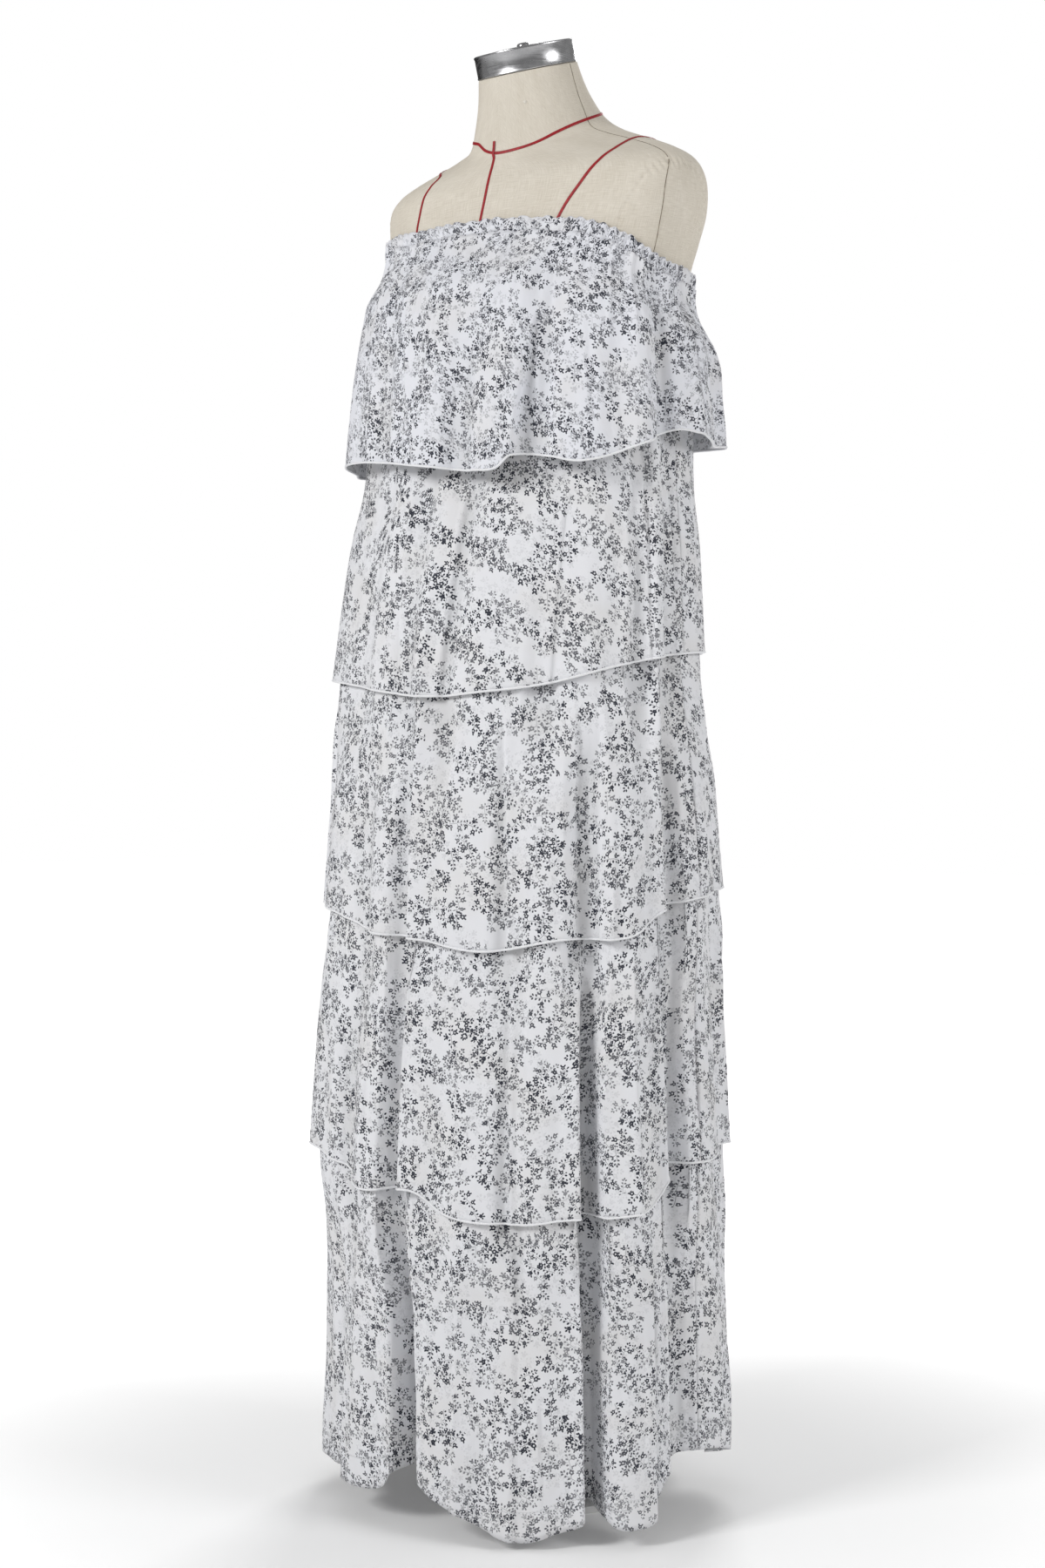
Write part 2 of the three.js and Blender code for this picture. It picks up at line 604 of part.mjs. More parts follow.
// A closed solid from a grid of outer points and a grid of inner points, edge walls included.
function shellGeometry(outer, inner) {
  const rows = outer.length;
  const columns = outer[0].length;
  const points = [...outer.flat(), ...inner.flat()];
  const place = (side, row, column) => side * rows * columns + row * columns + column;
  const faces = [];
  const quad = (a, b, c, d) => faces.push(a, b, c, a, c, d);
  for (let row = 0; row < rows - 1; row += 1) {
    for (let column = 0; column < columns - 1; column += 1) {
      const corners = (side) => [
        place(side, row, column),
        place(side, row + 1, column),
        place(side, row + 1, column + 1),
        place(side, row, column + 1),
      ];
      quad(...corners(0));
      quad(...corners(1).reverse());
    }
    const last = columns - 1;
    quad(place(0, row, 0), place(1, row, 0), place(1, row + 1, 0), place(0, row + 1, 0));
    quad(place(0, row + 1, last), place(1, row + 1, last), place(1, row, last), place(0, row, last));
  }
  const hem = rows - 1;
  for (let column = 0; column < columns - 1; column += 1) {
    const next = column + 1;
    quad(place(0, 0, column), place(0, 0, next), place(1, 0, next), place(1, 0, column));
    quad(place(0, hem, next), place(0, hem, column), place(1, hem, column), place(1, hem, next));
  }
  return faceted(points, faces);
}

// Turns of the columns of a half, from one side seam to the other, half a side seam short at both ends.
function halfTurns(middle, columns, radius) {
  const short = THREE.MathUtils.radToDeg(SIDE_SEAM / 2 / radius);
  const reach = HALF_TURN / 2 - short;
  return Array.from({ length: columns + 1 }, (_, i) => middle - reach + (2 * reach * i) / columns);
}

// Heights of a panel's rows at one turn. Two tiers that meet share the rows at their seam and the upper hem.
function rowHeights(level, turn) {
  const tier = TIERS[level];
  const heights = [topHeight(tier, turn)];
  if (level > 1) {
    heights.push(heightAt(TIERS[level - 1].hem, turn));
  }
  const start = heights[heights.length - 1];
  const carries = level > 0 && level < TIERS.length - 1;
  const hem = heightAt(tier.hem, turn);
  const end = carries ? TIERS[level + 1].top : hem;
  for (let row = 1; row <= tier.rows; row += 1) {
    heights.push(mix(start, end, row / tier.rows));
  }
  if (carries) {
    heights.push(hem);
  }
  return heights;
}

function tierPanel(level, side) {
  const tier = TIERS[level];
  const plain = side.middle === 0 ? FRONT_COLUMNS : BACK_COLUMNS;
  const columns = level === 0 ? FLOUNCE_COLUMNS : plain;
  const turns = halfTurns(side.middle, columns, tier.rings[0].halfX);
  const heights = turns.map((turn) => rowHeights(level, turn));
  const grid = (depth) =>
    heights[0].map((_, row) =>
      turns.map((turn, i) => inset((at) => tierPoint(level, at, heights[i][row]), turn, depth)),
    );
  addMesh(`${tier.name}_${side.name}`, shellGeometry(grid(0), grid(WALL)), chiffon);
}

// One half of the elastic casing: a gathered channel that hugs the form.
function casingHalf(side) {
  const columns = (CASING_GATHERS / 2) * GATHER_STEPS;
  const turns = halfTurns(side.middle, columns, TORSO_RINGS[BUST_RING].halfX);
  const rise = (turn) => 0.5 - 0.5 * Math.cos(THREE.MathUtils.degToRad(turn) * CASING_GATHERS);
  const edge = (lift, drop) =>
    turns.map((turn) => {
      const z = heightAt(NECKLINE, turn) - drop + (drop === 0 ? FRILL_HEIGHT * rise(turn) : 0);
      return inset((at) => formPoint(at, z), turn, -lift(turn));
    });
  const face = (turn) => CASING_LIFT + CASING_DEPTH + GATHER_DEPTH * rise(turn);
  const back = () => CASING_LIFT;
  const outer = [edge(face, 0), edge(face, CASING_HEIGHT)];
  const inner = [edge(back, 0), edge(back, CASING_HEIGHT)];
  addMesh(`neck_casing_${side.name}`, shellGeometry(outer, inner), chiffon);
}

// A closed solid skinned over rings of points, with a flat lid on the first and the last ring.
function loftGeometry(rings) {
  const count = rings[0].length;
  const points = rings.flat();
  const faces = [];
  for (let ring = 0; ring < rings.length - 1; ring += 1) {
    for (let i = 0; i < count; i += 1) {
      const a = ring * count + i;
      const b = ring * count + ((i + 1) % count);
      faces.push(a, b, b + count, a, b + count, a + count);
    }
  }
  const lid = (ring, flip) => {
    const middle = points.length;
    const sum = rings[ring].reduce((total, point) => total.add(point), new THREE.Vector3());
    points.push(sum.divideScalar(count));
    for (let i = 0; i < count; i += 1) {
      const a = ring * count + i;
      const b = ring * count + ((i + 1) % count);
      faces.push(middle, flip ? b : a, flip ? a : b);
    }
  };
  lid(0, true);
  lid(rings.length - 1, false);
  return faceted(points, faces);
}

function torso() {
  const turns = Array.from({ length: TORSO_COLUMNS }, (_, i) => (FULL_TURN * i) / TORSO_COLUMNS);
  const rings = [];
  for (let step = 0; step < TORSO_RINGS.length; step += step < BUST_RING ? 1 : TORSO_FINE_STEP) {
    rings.push(turns.map((turn) => torsoPoint(turn, step)));
  }
  addMesh('torso', loftGeometry(rings), linen);
}

// Metal cap on the neck, seated square to the leaning top ring.
function neckCap() {
  const top = TORSO_RINGS[TORSO_RINGS.length - 1];
  const outline = [
    new THREE.Vector2(0, 0),
    new THREE.Vector2(CAP_RADIUS, 0),
    new THREE.Vector2(CAP_RADIUS, CAP_HEIGHT - CAP_BEVEL),
    new THREE.Vector2(CAP_RADIUS - CAP_BEVEL, CAP_HEIGHT),
    new THREE.Vector2(0, CAP_HEIGHT + CAP_DOME),
  ];
  const cap = addMesh('neck_cap', new THREE.LatheGeometry(outline, CAP_SIDES), steel);
  const tilt = THREE.MathUtils.degToRad(top.tilt);
  cap.rotation.x = Math.PI / 2 + tilt;
  cap.position.set(0, top.y - SEAM * Math.sin(tilt), top.z + SEAM * Math.cos(tilt));
}

// Corners of a flat tape at one place on the torso, square to the way it runs.
function tapeCorners(place, before, after) {
  const spot = torsoPoint(place.turn, place.step);
  const run = torsoPoint(after.turn, after.step).sub(torsoPoint(before.turn, before.step));
  const acrossTurn = torsoPoint(place.turn + NORMAL_TURN, place.step)
    .sub(torsoPoint(place.turn - NORMAL_TURN, place.step));
  const acrossStep = torsoPoint(place.turn, place.step + NORMAL_STEP)
    .sub(torsoPoint(place.turn, place.step - NORMAL_STEP));
  const out = acrossTurn.cross(acrossStep).normalize();
  const sideways = out.clone().cross(run).normalize().multiplyScalar(TAPE_WIDTH / 2);
  const corner = (way, lift) => spot.clone().addScaledVector(sideways, way).addScaledVector(out, lift);
  const upper = place.lift + TAPE_DEPTH;
  return [corner(-1, place.lift), corner(1, place.lift), corner(1, upper), corner(-1, upper)];
}

// A tape along a table of places.
function styleTape(name, rows) {
  const steps = (rows.length - 1) * TAPE_STEPS;
  const places = Array.from({ length: steps + 1 }, (_, i) => {
    const at = i / TAPE_STEPS;
    const value = (column) => along(rows, 'at', column, at);
    return { turn: value('turn'), step: value('step'), lift: value('lift') };
  });
  const rings = places.map((place, i) =>
    tapeCorners(place, places[Math.max(i - 1, 0)], places[Math.min(i + 1, steps)]),
  );
  addMesh(name, loftGeometry(rings), tapeRed);
}

function neckTape() {
  const place = (i) => {
    const turn = (FULL_TURN * i) / NECK_TAPE_STEPS - HALF_TURN;
    return { turn, step: around(NECK_TAPE, 'step', turn), lift: NECK_TAPE_LIFT };
  };
  const corners = (_, i) => tapeCorners(place(i), place(i - 1), place(i + 1));
  const rings = Array.from({ length: NECK_TAPE_STEPS }, corners);
  addMesh('neck_tape', bandGeometry(rings), tapeRed);
}

// A closed band: rings of corner points joined end to end.
function bandGeometry(rings) {
  const count = rings[0].length;
  const total = rings.length * count;
  const faces = [];
  for (let ring = 0; ring < rings.length; ring += 1) {
    for (let i = 0; i < count; i += 1) {
      const a = ring * count + i;
      const b = ring * count + ((i + 1) % count);
      faces.push(a, b, (b + count) % total, a, (b + count) % total, (a + count) % total);
    }
  }
  return faceted(rings.flat(), faces);
}

torso();
neckCap();
neckTape();
styleTape('centre_front_tape', CENTRE_FRONT_TAPE);
styleTape('centre_back_tape', CENTRE_BACK_TAPE);
styleTape('princess_tape_left', LEFT_PRINCESS_TAPE);
styleTape('princess_tape_right', RIGHT_PRINCESS_TAPE);
for (const side of [{ name: 'front', middle: 0 }, { name: 'back', middle: HALF_TURN }]) {
  casingHalf(side);
  for (let level = 0; level < TIERS.length; level += 1) {
    tierPanel(level, side);
  }
}

const pole = addMesh(
  'pole',
  new THREE.CylinderGeometry(POLE_RADIUS, POLE_RADIUS, TORSO_UNDERSIDE - PLATE_HEIGHT - 2 * SEAM, POLE_SIDES),
  steel,
);
pole.rotation.x = Math.PI / 2;
pole.position.z = (TORSO_UNDERSIDE + PLATE_HEIGHT) / 2;

const plateOutline = [
  new THREE.Vector2(0, 0),
  new THREE.Vector2(PLATE_RADIUS, 0),
  new THREE.Vector2(PLATE_RADIUS, PLATE_HEIGHT - PLATE_BEVEL),
  new THREE.Vector2(PLATE_RADIUS - PLATE_BEVEL, PLATE_HEIGHT),
  new THREE.Vector2(0, PLATE_HEIGHT),
];
const plate = addMesh('base_plate', new THREE.LatheGeometry(plateOutline, PLATE_SIDES), whitePaint);
plate.rotation.x = Math.PI / 2;

export default dress;
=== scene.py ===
import math
import bpy
import numpy as np
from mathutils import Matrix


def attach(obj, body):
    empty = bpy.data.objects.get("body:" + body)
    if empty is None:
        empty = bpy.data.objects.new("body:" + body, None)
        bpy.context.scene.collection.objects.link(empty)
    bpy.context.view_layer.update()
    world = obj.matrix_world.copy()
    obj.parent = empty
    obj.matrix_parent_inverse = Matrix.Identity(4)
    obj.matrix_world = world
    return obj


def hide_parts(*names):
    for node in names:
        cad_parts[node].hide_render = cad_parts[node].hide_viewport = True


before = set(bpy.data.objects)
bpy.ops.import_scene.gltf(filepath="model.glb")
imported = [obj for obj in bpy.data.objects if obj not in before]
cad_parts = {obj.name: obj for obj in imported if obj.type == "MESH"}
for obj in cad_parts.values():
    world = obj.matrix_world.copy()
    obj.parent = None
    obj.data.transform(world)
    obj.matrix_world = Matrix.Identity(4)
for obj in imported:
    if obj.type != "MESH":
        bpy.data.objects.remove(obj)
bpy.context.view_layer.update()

mm = 0.001
print("frame loaded:", len(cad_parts), "nodes")

# A turn is an angle round the dress in degrees: 0 at the centre front (-Y), 90 at the +X side.
# Tables are in millimetres and degrees. Meshes, node trees, bumps, camera and lights are in metres.


def smooth(value, low, high):
    t = np.clip((value - low) / (high - low), 0, 1)
    return t * t * (3 - 2 * t)


def along(rows, place, column=1):
    table = np.asarray(rows, float)
    x = table[:, 0]
    y = table[:, column]
    slope = np.empty(len(y))
    slope[1:-1] = (y[2:] - y[:-2]) / (x[2:] - x[:-2])
    slope[0] = (y[1] - y[0]) / (x[1] - x[0])
    slope[-1] = (y[-1] - y[-2]) / (x[-1] - x[-2])
    at = np.clip(place, x[0], x[-1])
    here = np.clip(np.searchsorted(x, at, side="right") - 1, 0, len(x) - 2)
    span = x[here + 1] - x[here]
    t = (at - x[here]) / span
    rise = y[here + 1] - y[here]
    bend = (slope[here] * span - rise) * (1 - t) + (rise - slope[here + 1] * span) * t
    return y[here] + rise * t + t * (1 - t) * bend


def around(rows, turn):
    loop = [(row[0] + lap, row[1]) for lap in (-360, 0, 360) for row in rows]
    return along(loop, turn)


def wrapped(angle):
    return (angle + 180) % 360 - 180


# Dress form: rings of the torso from its underside up to the neck
torsoRings = [  # z, y, halfX, halfY, tilt, power
    (674, -8, 144, 94, 0, 2),
    (734, -7, 157, 102, 0, 2),
    (789, -6, 160, 104, 0, 2),
    (874, -4, 148, 98, 0, 2),
    (974, -2, 122, 87, 0, 2),
    (1064, -4, 138, 98, 0, 2),
    (1139, -7, 155, 112, 0, 2),
    (1179, -3, 161, 110, 0, 2),
    (1209, 2, 168, 105, 0, 2.1),
    (1239, 5, 175, 99, 0, 2.25),
    (1266, 5, 176, 92, 2, 2.3),
    (1284, 4, 168, 86, 6, 2.15),
    (1297, 2, 148, 81, 10, 1.95),
    (1309, -1, 118, 77, 15, 1.8),
    (1319, -3, 88, 74, 19, 1.85),
    (1329, -6, 66, 72, 23, 2),
    (1348, -12, 57, 63, 22, 2),
    (1367, -17, 52, 55, 20, 2),
    (1387, -22.5, 49, 49, 18, 2),
]
numberedRings = [(step, *ring) for step, ring in enumerate(torsoRings)]

neckline = [  # turn, z
    (-150, 1190), (-110, 1200), (-60, 1231), (-25, 1229), (5, 1225), (35, 1217),
    (55, 1204), (80, 1181), (115, 1177), (150, 1180), (180, 1182),
]


def rounded(value, power):
    return np.sign(value) * np.abs(value) ** (2 / power)


def ringPoint(z, y, halfX, halfY, tilt, power, turn):
    angle = np.radians(turn)
    lean = np.radians(tilt)
    forward = halfY * rounded(np.cos(angle), power)
    x = halfX * rounded(np.sin(angle), power)
    return np.stack([x, y - forward * np.cos(lean), z - forward * np.sin(lean)], -1)


def torsoPoint(turn, step):
    turn, step = np.broadcast_arrays(np.asarray(turn, float), np.asarray(step, float))
    return ringPoint(*(along(numberedRings, step, column) for column in range(1, 7)), turn)


def formPoint(turn, z):
    y, halfX, halfY, power = (along(torsoRings, z, column) for column in (1, 2, 3, 5))
    return ringPoint(z, y, halfX, halfY, 0, power, turn)


def inset(curve, turn, distance, step=0.25):
    run = curve(turn + step) - curve(turn - step)
    inwards = np.stack([-run[..., 1], run[..., 0], np.zeros(run.shape[:-1])], -1)
    inwards /= np.linalg.norm(inwards, axis=-1, keepdims=True)
    return curve(turn) + inwards * np.asarray(distance, float)[..., None]


# Cloth of the dress: five tiers, each with its rings, its hem and its main folds.
# rings: z, halfX, halfY, y.  hem: turn, z.
# folds: turn at top, turn at hem, half width, push at top, push at hem.
cloth = dict(
    wall=1.5, thickness=0.7, seam=0.3, hemSlack=3.5, casingHeight=12,
    lift=(4.4, 2.4),  # flounce and body, off the form
    ease=(60, 90, 130, 130, 130),  # drop below its seam over which each tier comes to hang free
    waves=24, waveDepth=3, waveFade=0.55, valleyWall=(0.22, 0.86),
)
tiers = [
    dict(
        name="tier_1", top=1214, drop=215, cut=dict(front=(0.62, 0.235), back=(0.62, 0.175)),
        rings=[(934, 197, 157, -12), (1004, 195, 155, -12), (1085, 188, 147, -12),
               (1159, 178, 132, -9), (1234, 172, 112, 2)],
        hem=[(-150, 1014), (-110, 1006), (-79, 1001), (-45, 1003), (-24, 997), (-1, 985), (15, 978),
             (21, 978), (25, 991), (32, 992), (45, 984), (66, 1004), (80, 1018), (99, 1009), (125, 1016),
             (155, 1021), (180, 1019)],
        folds=[(-54, -51, 18, 6, 7), (-26, -25, 9, 0, -9), (-3, -2, 9, 0, 6), (7, 8, 7, 0, -5),
               (23, 19, 9, 1, 11), (33, 31, 8, -1, -12), (48, 46, 11, 1, 7), (63, 63, 8, 1, 8),
               (72, 73, 8, -1, -12), (91, 90, 12, 0, 8), (109, 110, 10, 0, -9), (128, 128, 10, 0, 8),
               (145, 147, 11, 0, -10), (167, 166, 11, 0, 9), (-174, -175, 10, 0, -8),
               (-156, -157, 11, 0, 9), (-137, -136, 10, 0, -9), (-118, -117, 10, 0, 8),
               (-98, -99, 10, 0, -8), (-78, -77, 9, 0, 6)],
    ),
    dict(
        name="tier_2", top=1214, drop=428, cut=dict(front=(0.56, 0.46), back=(0.56, 0.38)),
        rings=[(694, 195, 160, -29), (804, 187, 152, -28), (914, 180, 140, -23), (978, 173, 128, -20),
               (1085, 171, 126, -13), (1144, 169, 124, -9), (1234, 168, 108, 2)],
        hem=[(-150, 816), (-100, 806), (-45, 788), (-20, 778), (0, 771), (20, 774), (40, 782), (60, 797),
             (89, 811), (130, 817), (180, 820)],
        folds=[(-30, -31, 10, 0, -4), (-6, -9, 8, 0, -7), (2, -1, 8, 0, 5), (16, 5, 8, -1, -6),
               (27, 20, 11, 1, 6), (43, 37, 8, -1, -7), (55, 50, 11, 0, 5), (69, 70, 7, -1, -9),
               (77, 77, 6, 0, 4), (85, 84, 7, -1, -9), (101, 101, 13, 0, 5), (122, 120, 14, -10, -8),
               (138, 139, 11, 0, 6), (157, 156, 11, 0, -8), (177, 177, 12, 0, 6), (-163, -162, 11, 0, -8),
               (-143, -144, 12, 0, 6), (-122, -121, 11, 0, -7), (-101, -102, 11, 0, 5),
               (-80, -79, 11, 0, -7), (-56, -55, 17, 1, 11)],
    ),
    dict(
        name="tier_3", top=850, drop=296, cut=dict(front=(0.70, 0.30), back=(0.70, 0.265)),
        rings=[(464, 207, 172, -31), (579, 203, 168, -31), (674, 197, 161, -31), (764, 191, 153, -31),
               (854, 184, 148, -28)],
        hem=[(-150, 590), (-95, 585), (-36, 568), (-20, 554), (4, 547), (22, 538), (42, 549), (62, 552),
             (75, 575), (96, 587), (130, 590), (180, 594)],
        folds=[(-40, -42, 14, 2, 6), (-24, -22, 9, -3, -7), (-10, -11, 8, 2, 5), (-4.5, -4, 5.2, -6, -10),
               (15, 14, 10, 3, 6), (28, 28, 7, -4, -6), (38, 38, 8, 3, 5), (49, 50, 8, -7, -15),
               (62, 63, 9, 4, 8), (78, 79.5, 6, -8, -15), (91, 92, 12, 3, 6), (110, 111, 10, -5, -11),
               (129, 130, 10, 3, 7), (148, 148, 10, -5, -12), (168, 167, 11, 3, 8),
               (-172, -173, 10, -5, -11), (-152, -151, 11, 3, 8), (-132, -131, 10, -5, -12),
               (-112, -111, 11, 3, 7), (-91, -92, 10, -5, -11), (-70, -70, 11, 3, 5)],
    ),
    dict(
        name="tier_4", top=622, drop=300, cut=dict(front=(0.74, 0.315), back=(0.74, 0.28)),
        rings=[(234, 211, 178, -35), (349, 208, 175, -36), (434, 204, 170, -36), (527, 199, 165, -35),
               (634, 197, 160, -32)],
        hem=[(-150, 352), (-95, 348), (-41, 341), (-26, 326), (-14, 314), (3, 319), (13, 301), (28, 294),
             (45, 299), (62, 302), (71, 309), (79, 338), (92, 342), (130, 348), (180, 352)],
        folds=[(-42, -43, 14, 3, 7), (-25, -26, 8, -4, -10), (-11, -12, 10, 3, 6),
               (-4.5, -4.5, 5, -13, -20), (19, 18, 12, 4, 8), (29, 30, 6, -3, -6), (39, 38, 9, 3, 7),
               (51.5, 52, 4.4, -19, -28), (63, 63, 10, 4, 9), (79, 81, 6, -10, -22), (93, 94, 12, 3, 6),
               (111, 112, 9, -6, -15), (130, 131, 11, 4, 8), (148, 149, 9, -6, -16), (168, 167, 11, 4, 9),
               (-172, -174, 9, -6, -15), (-153, -152, 11, 4, 9), (-132, -130, 9, -6, -16),
               (-111, -110, 11, 4, 8), (-91, -90, 9, -6, -14), (-70, -70, 11, 3, 5)],
    ),
    dict(
        name="tier_5", top=380, drop=350, cut=dict(front=(0.78, 0.37), back=(0.78, 0.335)),
        rings=[(-26, 203, 173, -23), (44, 202, 171, -24), (174, 200, 169, -26), (291, 199, 166, -29),
               (394, 202, 168, -32)],
        hem=[(-150, 44), (-95, 36), (-45, 31), (-19, 30), (-11, 36), (-6, 56), (-1, 58), (4, 42),
             (13, 27), (22, 16), (31, 7), (41, 15), (47.5, 21), (52, 37), (56, 21), (60, 17), (70, 24),
             (79, 60), (88, 72), (99, 70), (110, 60), (122, 46), (150, 44), (180, 46)],
        folds=[(-38, -38, 8, -3, -7), (-21, -23, 14, 3, 10), (-4.8, -2.6, 5.5, -22, -50),
               (11, 10, 9, 3, 6), (27, 26, 15, 4, 9), (37, 37, 9, 2, 7), (51.5, 52, 4.7, -15, -29),
               (62, 63, 11, 5, 13), (74, 75, 6, -4, -7), (83, 84, 8, -10, -20), (100, 101, 12, 3, 8),
               (118, 119, 9, -8, -20), (136, 137, 11, 4, 10), (154, 155, 9, -8, -21),
               (173, 173, 11, 4, 11), (-168, -168, 9, -8, -20), (-149, -149, 11, 4, 10),
               (-130, -130, 9, -8, -21), (-110, -111, 11, 4, 10), (-91, -91, 9, -7, -18),
               (-57, -58, 15, 6, 9)],
    ),
]


def foldPush(folds, turn, fall):
    push = np.zeros(np.shape(turn))
    for turnTop, turnHem, half, top, hem in folds:
        away = np.abs(wrapped(turn - (turnTop + (turnHem - turnTop) * fall))) / half
        ridge = np.cos(np.minimum(away, 1) * math.pi / 2) ** 2
        valley = 1 - smooth(away, *cloth["valleyWall"])
        push += (top + (hem - top) * fall) * np.where(hem < 0, valley, ridge)
    return push


def hangingPoint(tier, turn, z):
    fall = np.clip((tier["top"] - z) / tier["drop"], 0, 1)
    angle = np.radians(turn)
    halfX, halfY, y = (along(tier["rings"], z, column) for column in (1, 2, 3))
    push = foldPush(tier["folds"], turn, fall)
    return np.stack([(halfX + push) * np.sin(angle), y - (halfY + push) * np.cos(angle), z], -1)


def topHeight(level, turn):
    if level < 2:
        return around(neckline, turn) - cloth["casingHeight"] - cloth["seam"]
    return np.full(np.shape(turn), float(tiers[level]["top"]))


def blended(start, end, share):
    return start + (end - start) * share[..., None]


def outwards(turn):
    angle = np.radians(turn)
    return np.stack([np.sin(angle), -np.cos(angle), np.zeros(np.shape(turn))], -1)


# Outer face of a tier with its main folds and no small creases.
# The front valleys of tiers 3 to 5 are narrower than those of the solids.
def tierPoint(level, turn, z):
    tier = tiers[level]
    if level < 2:
        edge = topHeight(level, turn)
        lift = np.full(np.shape(turn), cloth["lift"][level])
        held = inset(lambda at: formPoint(at, z), turn, -lift)
    else:
        edge = around(tiers[level - 1]["hem"], turn)
        slack = cloth["hemSlack"] * smooth(tier["top"] - z, 0, tier["top"] - edge)
        under = cloth["wall"] + cloth["seam"] + slack
        held = inset(lambda at: tierPoint(level - 1, at, z), turn, under)
    point = blended(held, hangingPoint(tier, turn, z), smooth(edge - z, 0, cloth["ease"][level]))
    if level == 0:
        fade = np.clip(1 - (edge - z) / (tier["drop"] * cloth["waveFade"]), 0, None)
        wave = cloth["waveDepth"] * fade * np.sin(cloth["waves"] * np.radians(turn) / 2) ** 2
        point = point + outwards(turn) * wave[..., None]
    return point


# Folds placed all round, a sharp edge with the cloth falling away gently behind it.
# pleats: turn at top, turn below, z at top, z below, height, reach in degrees, side that stands proud.
pleats = [  # one list for each tier
    [(31, 22.5, 1150, 960, 3.5, 9, -1), (70.5, 70.5, 1170, 960, 3.2, 10, -1),
     (-19, -4, 1170, 960, 2.0, 8, 1), (116, 119, 1120, 980, 2.8, 9, 1),
     (151, 147, 1110, 980, 3.4, 10, -1), (-171, -176, 1110, 980, 2.6, 9, 1),
     (-133, -128, 1120, 980, 3.2, 10, -1), (-101, -104, 1130, 980, 2.4, 8, 1)],
    [(-14, -9.5, 1000, 740, 2.2, 9, 1), (8.5, 4, 1000, 740, 2.6, 10, -1),
     (42, 38.5, 1000, 740, 2.4, 10, -1), (71, 73.5, 1000, 740, 3.0, 9, -1),
     (84, 88.5, 1000, 750, 2.4, 8, -1), (127, 124, 1000, 740, 2.6, 9, 1),
     (162, 166, 1000, 750, 3.0, 10, -1), (-156, -153, 1000, 740, 2.4, 9, 1),
     (-117, -120, 1000, 740, 2.8, 10, -1), (-60, -57, 1000, 750, 2.0, 9, 1)],
    [(-0.5, 0.5, 800, 500, 4.0, 10, 1), (27, 29, 790, 590, 3.0, 9, 1), (46.5, 47.5, 790, 500, 2.6, 9, -1),
     (56.5, 55, 790, 500, 3.2, 8, 1), (76, 78.5, 800, 500, 3.6, 10, -1), (109, 112, 800, 500, 3.0, 9, 1),
     (143, 140, 790, 510, 2.6, 9, -1), (176, 179, 800, 500, 3.4, 10, 1),
     (-141, -145, 790, 500, 3.0, 10, -1), (-106, -103, 800, 500, 2.6, 9, 1),
     (-55, -52, 790, 500, 2.4, 9, -1)],
    [(-0.5, 0, 580, 260, 4.6, 12, 1), (29.5, 30.5, 570, 380, 2.6, 9, 1), (48.5, 49, 570, 260, 3.2, 9, -1),
     (54.5, 56, 570, 260, 3.2, 7, 1), (63, 65.5, 570, 270, 2.2, 6, -1), (80.5, 81, 580, 260, 3.6, 9, -1),
     (119, 122, 580, 270, 3.2, 9, 1), (156, 153, 570, 260, 3.4, 10, -1),
     (-167, -164, 580, 260, 2.8, 9, 1), (-128, -131, 570, 260, 3.4, 10, -1),
     (-95, -93, 580, 270, 2.6, 8, 1), (-48, -45, 570, 260, 2.6, 9, 1)],
    [(-9, -7.6, 340, 0, 3.0, 10, -1), (0, 2.2, 340, 0, 3.0, 9, 1), (15.5, 13, 330, 20, 2.4, 8, 1),
     (30, 28.5, 330, 0, 2.4, 9, -1), (48.5, 48.5, 340, 0, 3.0, 9, -1), (55.5, 56, 340, 0, 3.2, 8, 1),
     (70.5, 69, 330, 10, 2.6, 8, -1), (86.5, 87, 330, 40, 1.6, 7, -1), (110, 111, 340, 20, 3.0, 9, -1),
     (127, 128, 340, 20, 3.2, 9, 1), (146, 147, 330, 30, 3.0, 8, -1), (163, 164, 340, 20, 3.2, 9, 1),
     (-177, -176, 340, 20, 3.0, 8, -1), (-158, -159, 330, 20, 3.2, 9, 1),
     (-139, -138, 340, 30, 3.0, 8, -1), (-121, -122, 340, 20, 3.2, 9, 1),
     (-65, -67, 330, 20, 2.6, 9, -1)],
]
pleatLook = dict(edge=1.6, slope=1.6, fadeIn=0.25, deeper=1.9)


def pleatPush(rows, turn, z):
    push = np.zeros(np.shape(turn))
    for turnTop, turnLow, top, low, height, reach, side in rows:
        fall = np.clip((top - z) / (top - low), 0, 1)
        past = wrapped(turn - turnTop - (turnLow - turnTop) * fall) * side
        slope = np.clip(1 - past / reach, 0, 1) ** pleatLook["slope"]
        drop = 1 - smooth(-past, 0, pleatLook["edge"])
        push += height * np.where(past > 0, slope, drop) * smooth(fall, 0, pleatLook["fadeIn"])
    return push * pleatLook["deeper"]


# Small creases: soft troughs and ridges of uneven length, depth and spacing, steeper on one side
creaseLook = [  # one row for each tier
    dict(seed=11, count=44, length=(60, 190), depth=(1.0, 3.6), wide=(2.5, 7.0)),
    dict(seed=23, count=38, length=(90, 260), depth=(0.8, 3.0), wide=(3.0, 8.0)),
    dict(seed=35, count=42, length=(90, 260), depth=(0.9, 3.4), wide=(2.5, 7.5)),
    dict(seed=47, count=44, length=(90, 280), depth=(0.9, 3.6), wide=(2.5, 7.5)),
    dict(seed=59, count=48, length=(110, 330), depth=(1.0, 3.8), wide=(2.5, 7.0)),
]
creaseSpread = dict(stagger=0.45, drift=3, startShare=0.6, hollow=-0.7, edge=(0.8, 2.0))
creaseFade = dict(past=0.2, inBy=0.4, outFrom=0.45)
gathers = dict(
    seed=71, count=84, length=(22, 120), depth=(0.8, 3.0), width=(1.1, 2.4), stagger=0.4, drift=1.5,
)


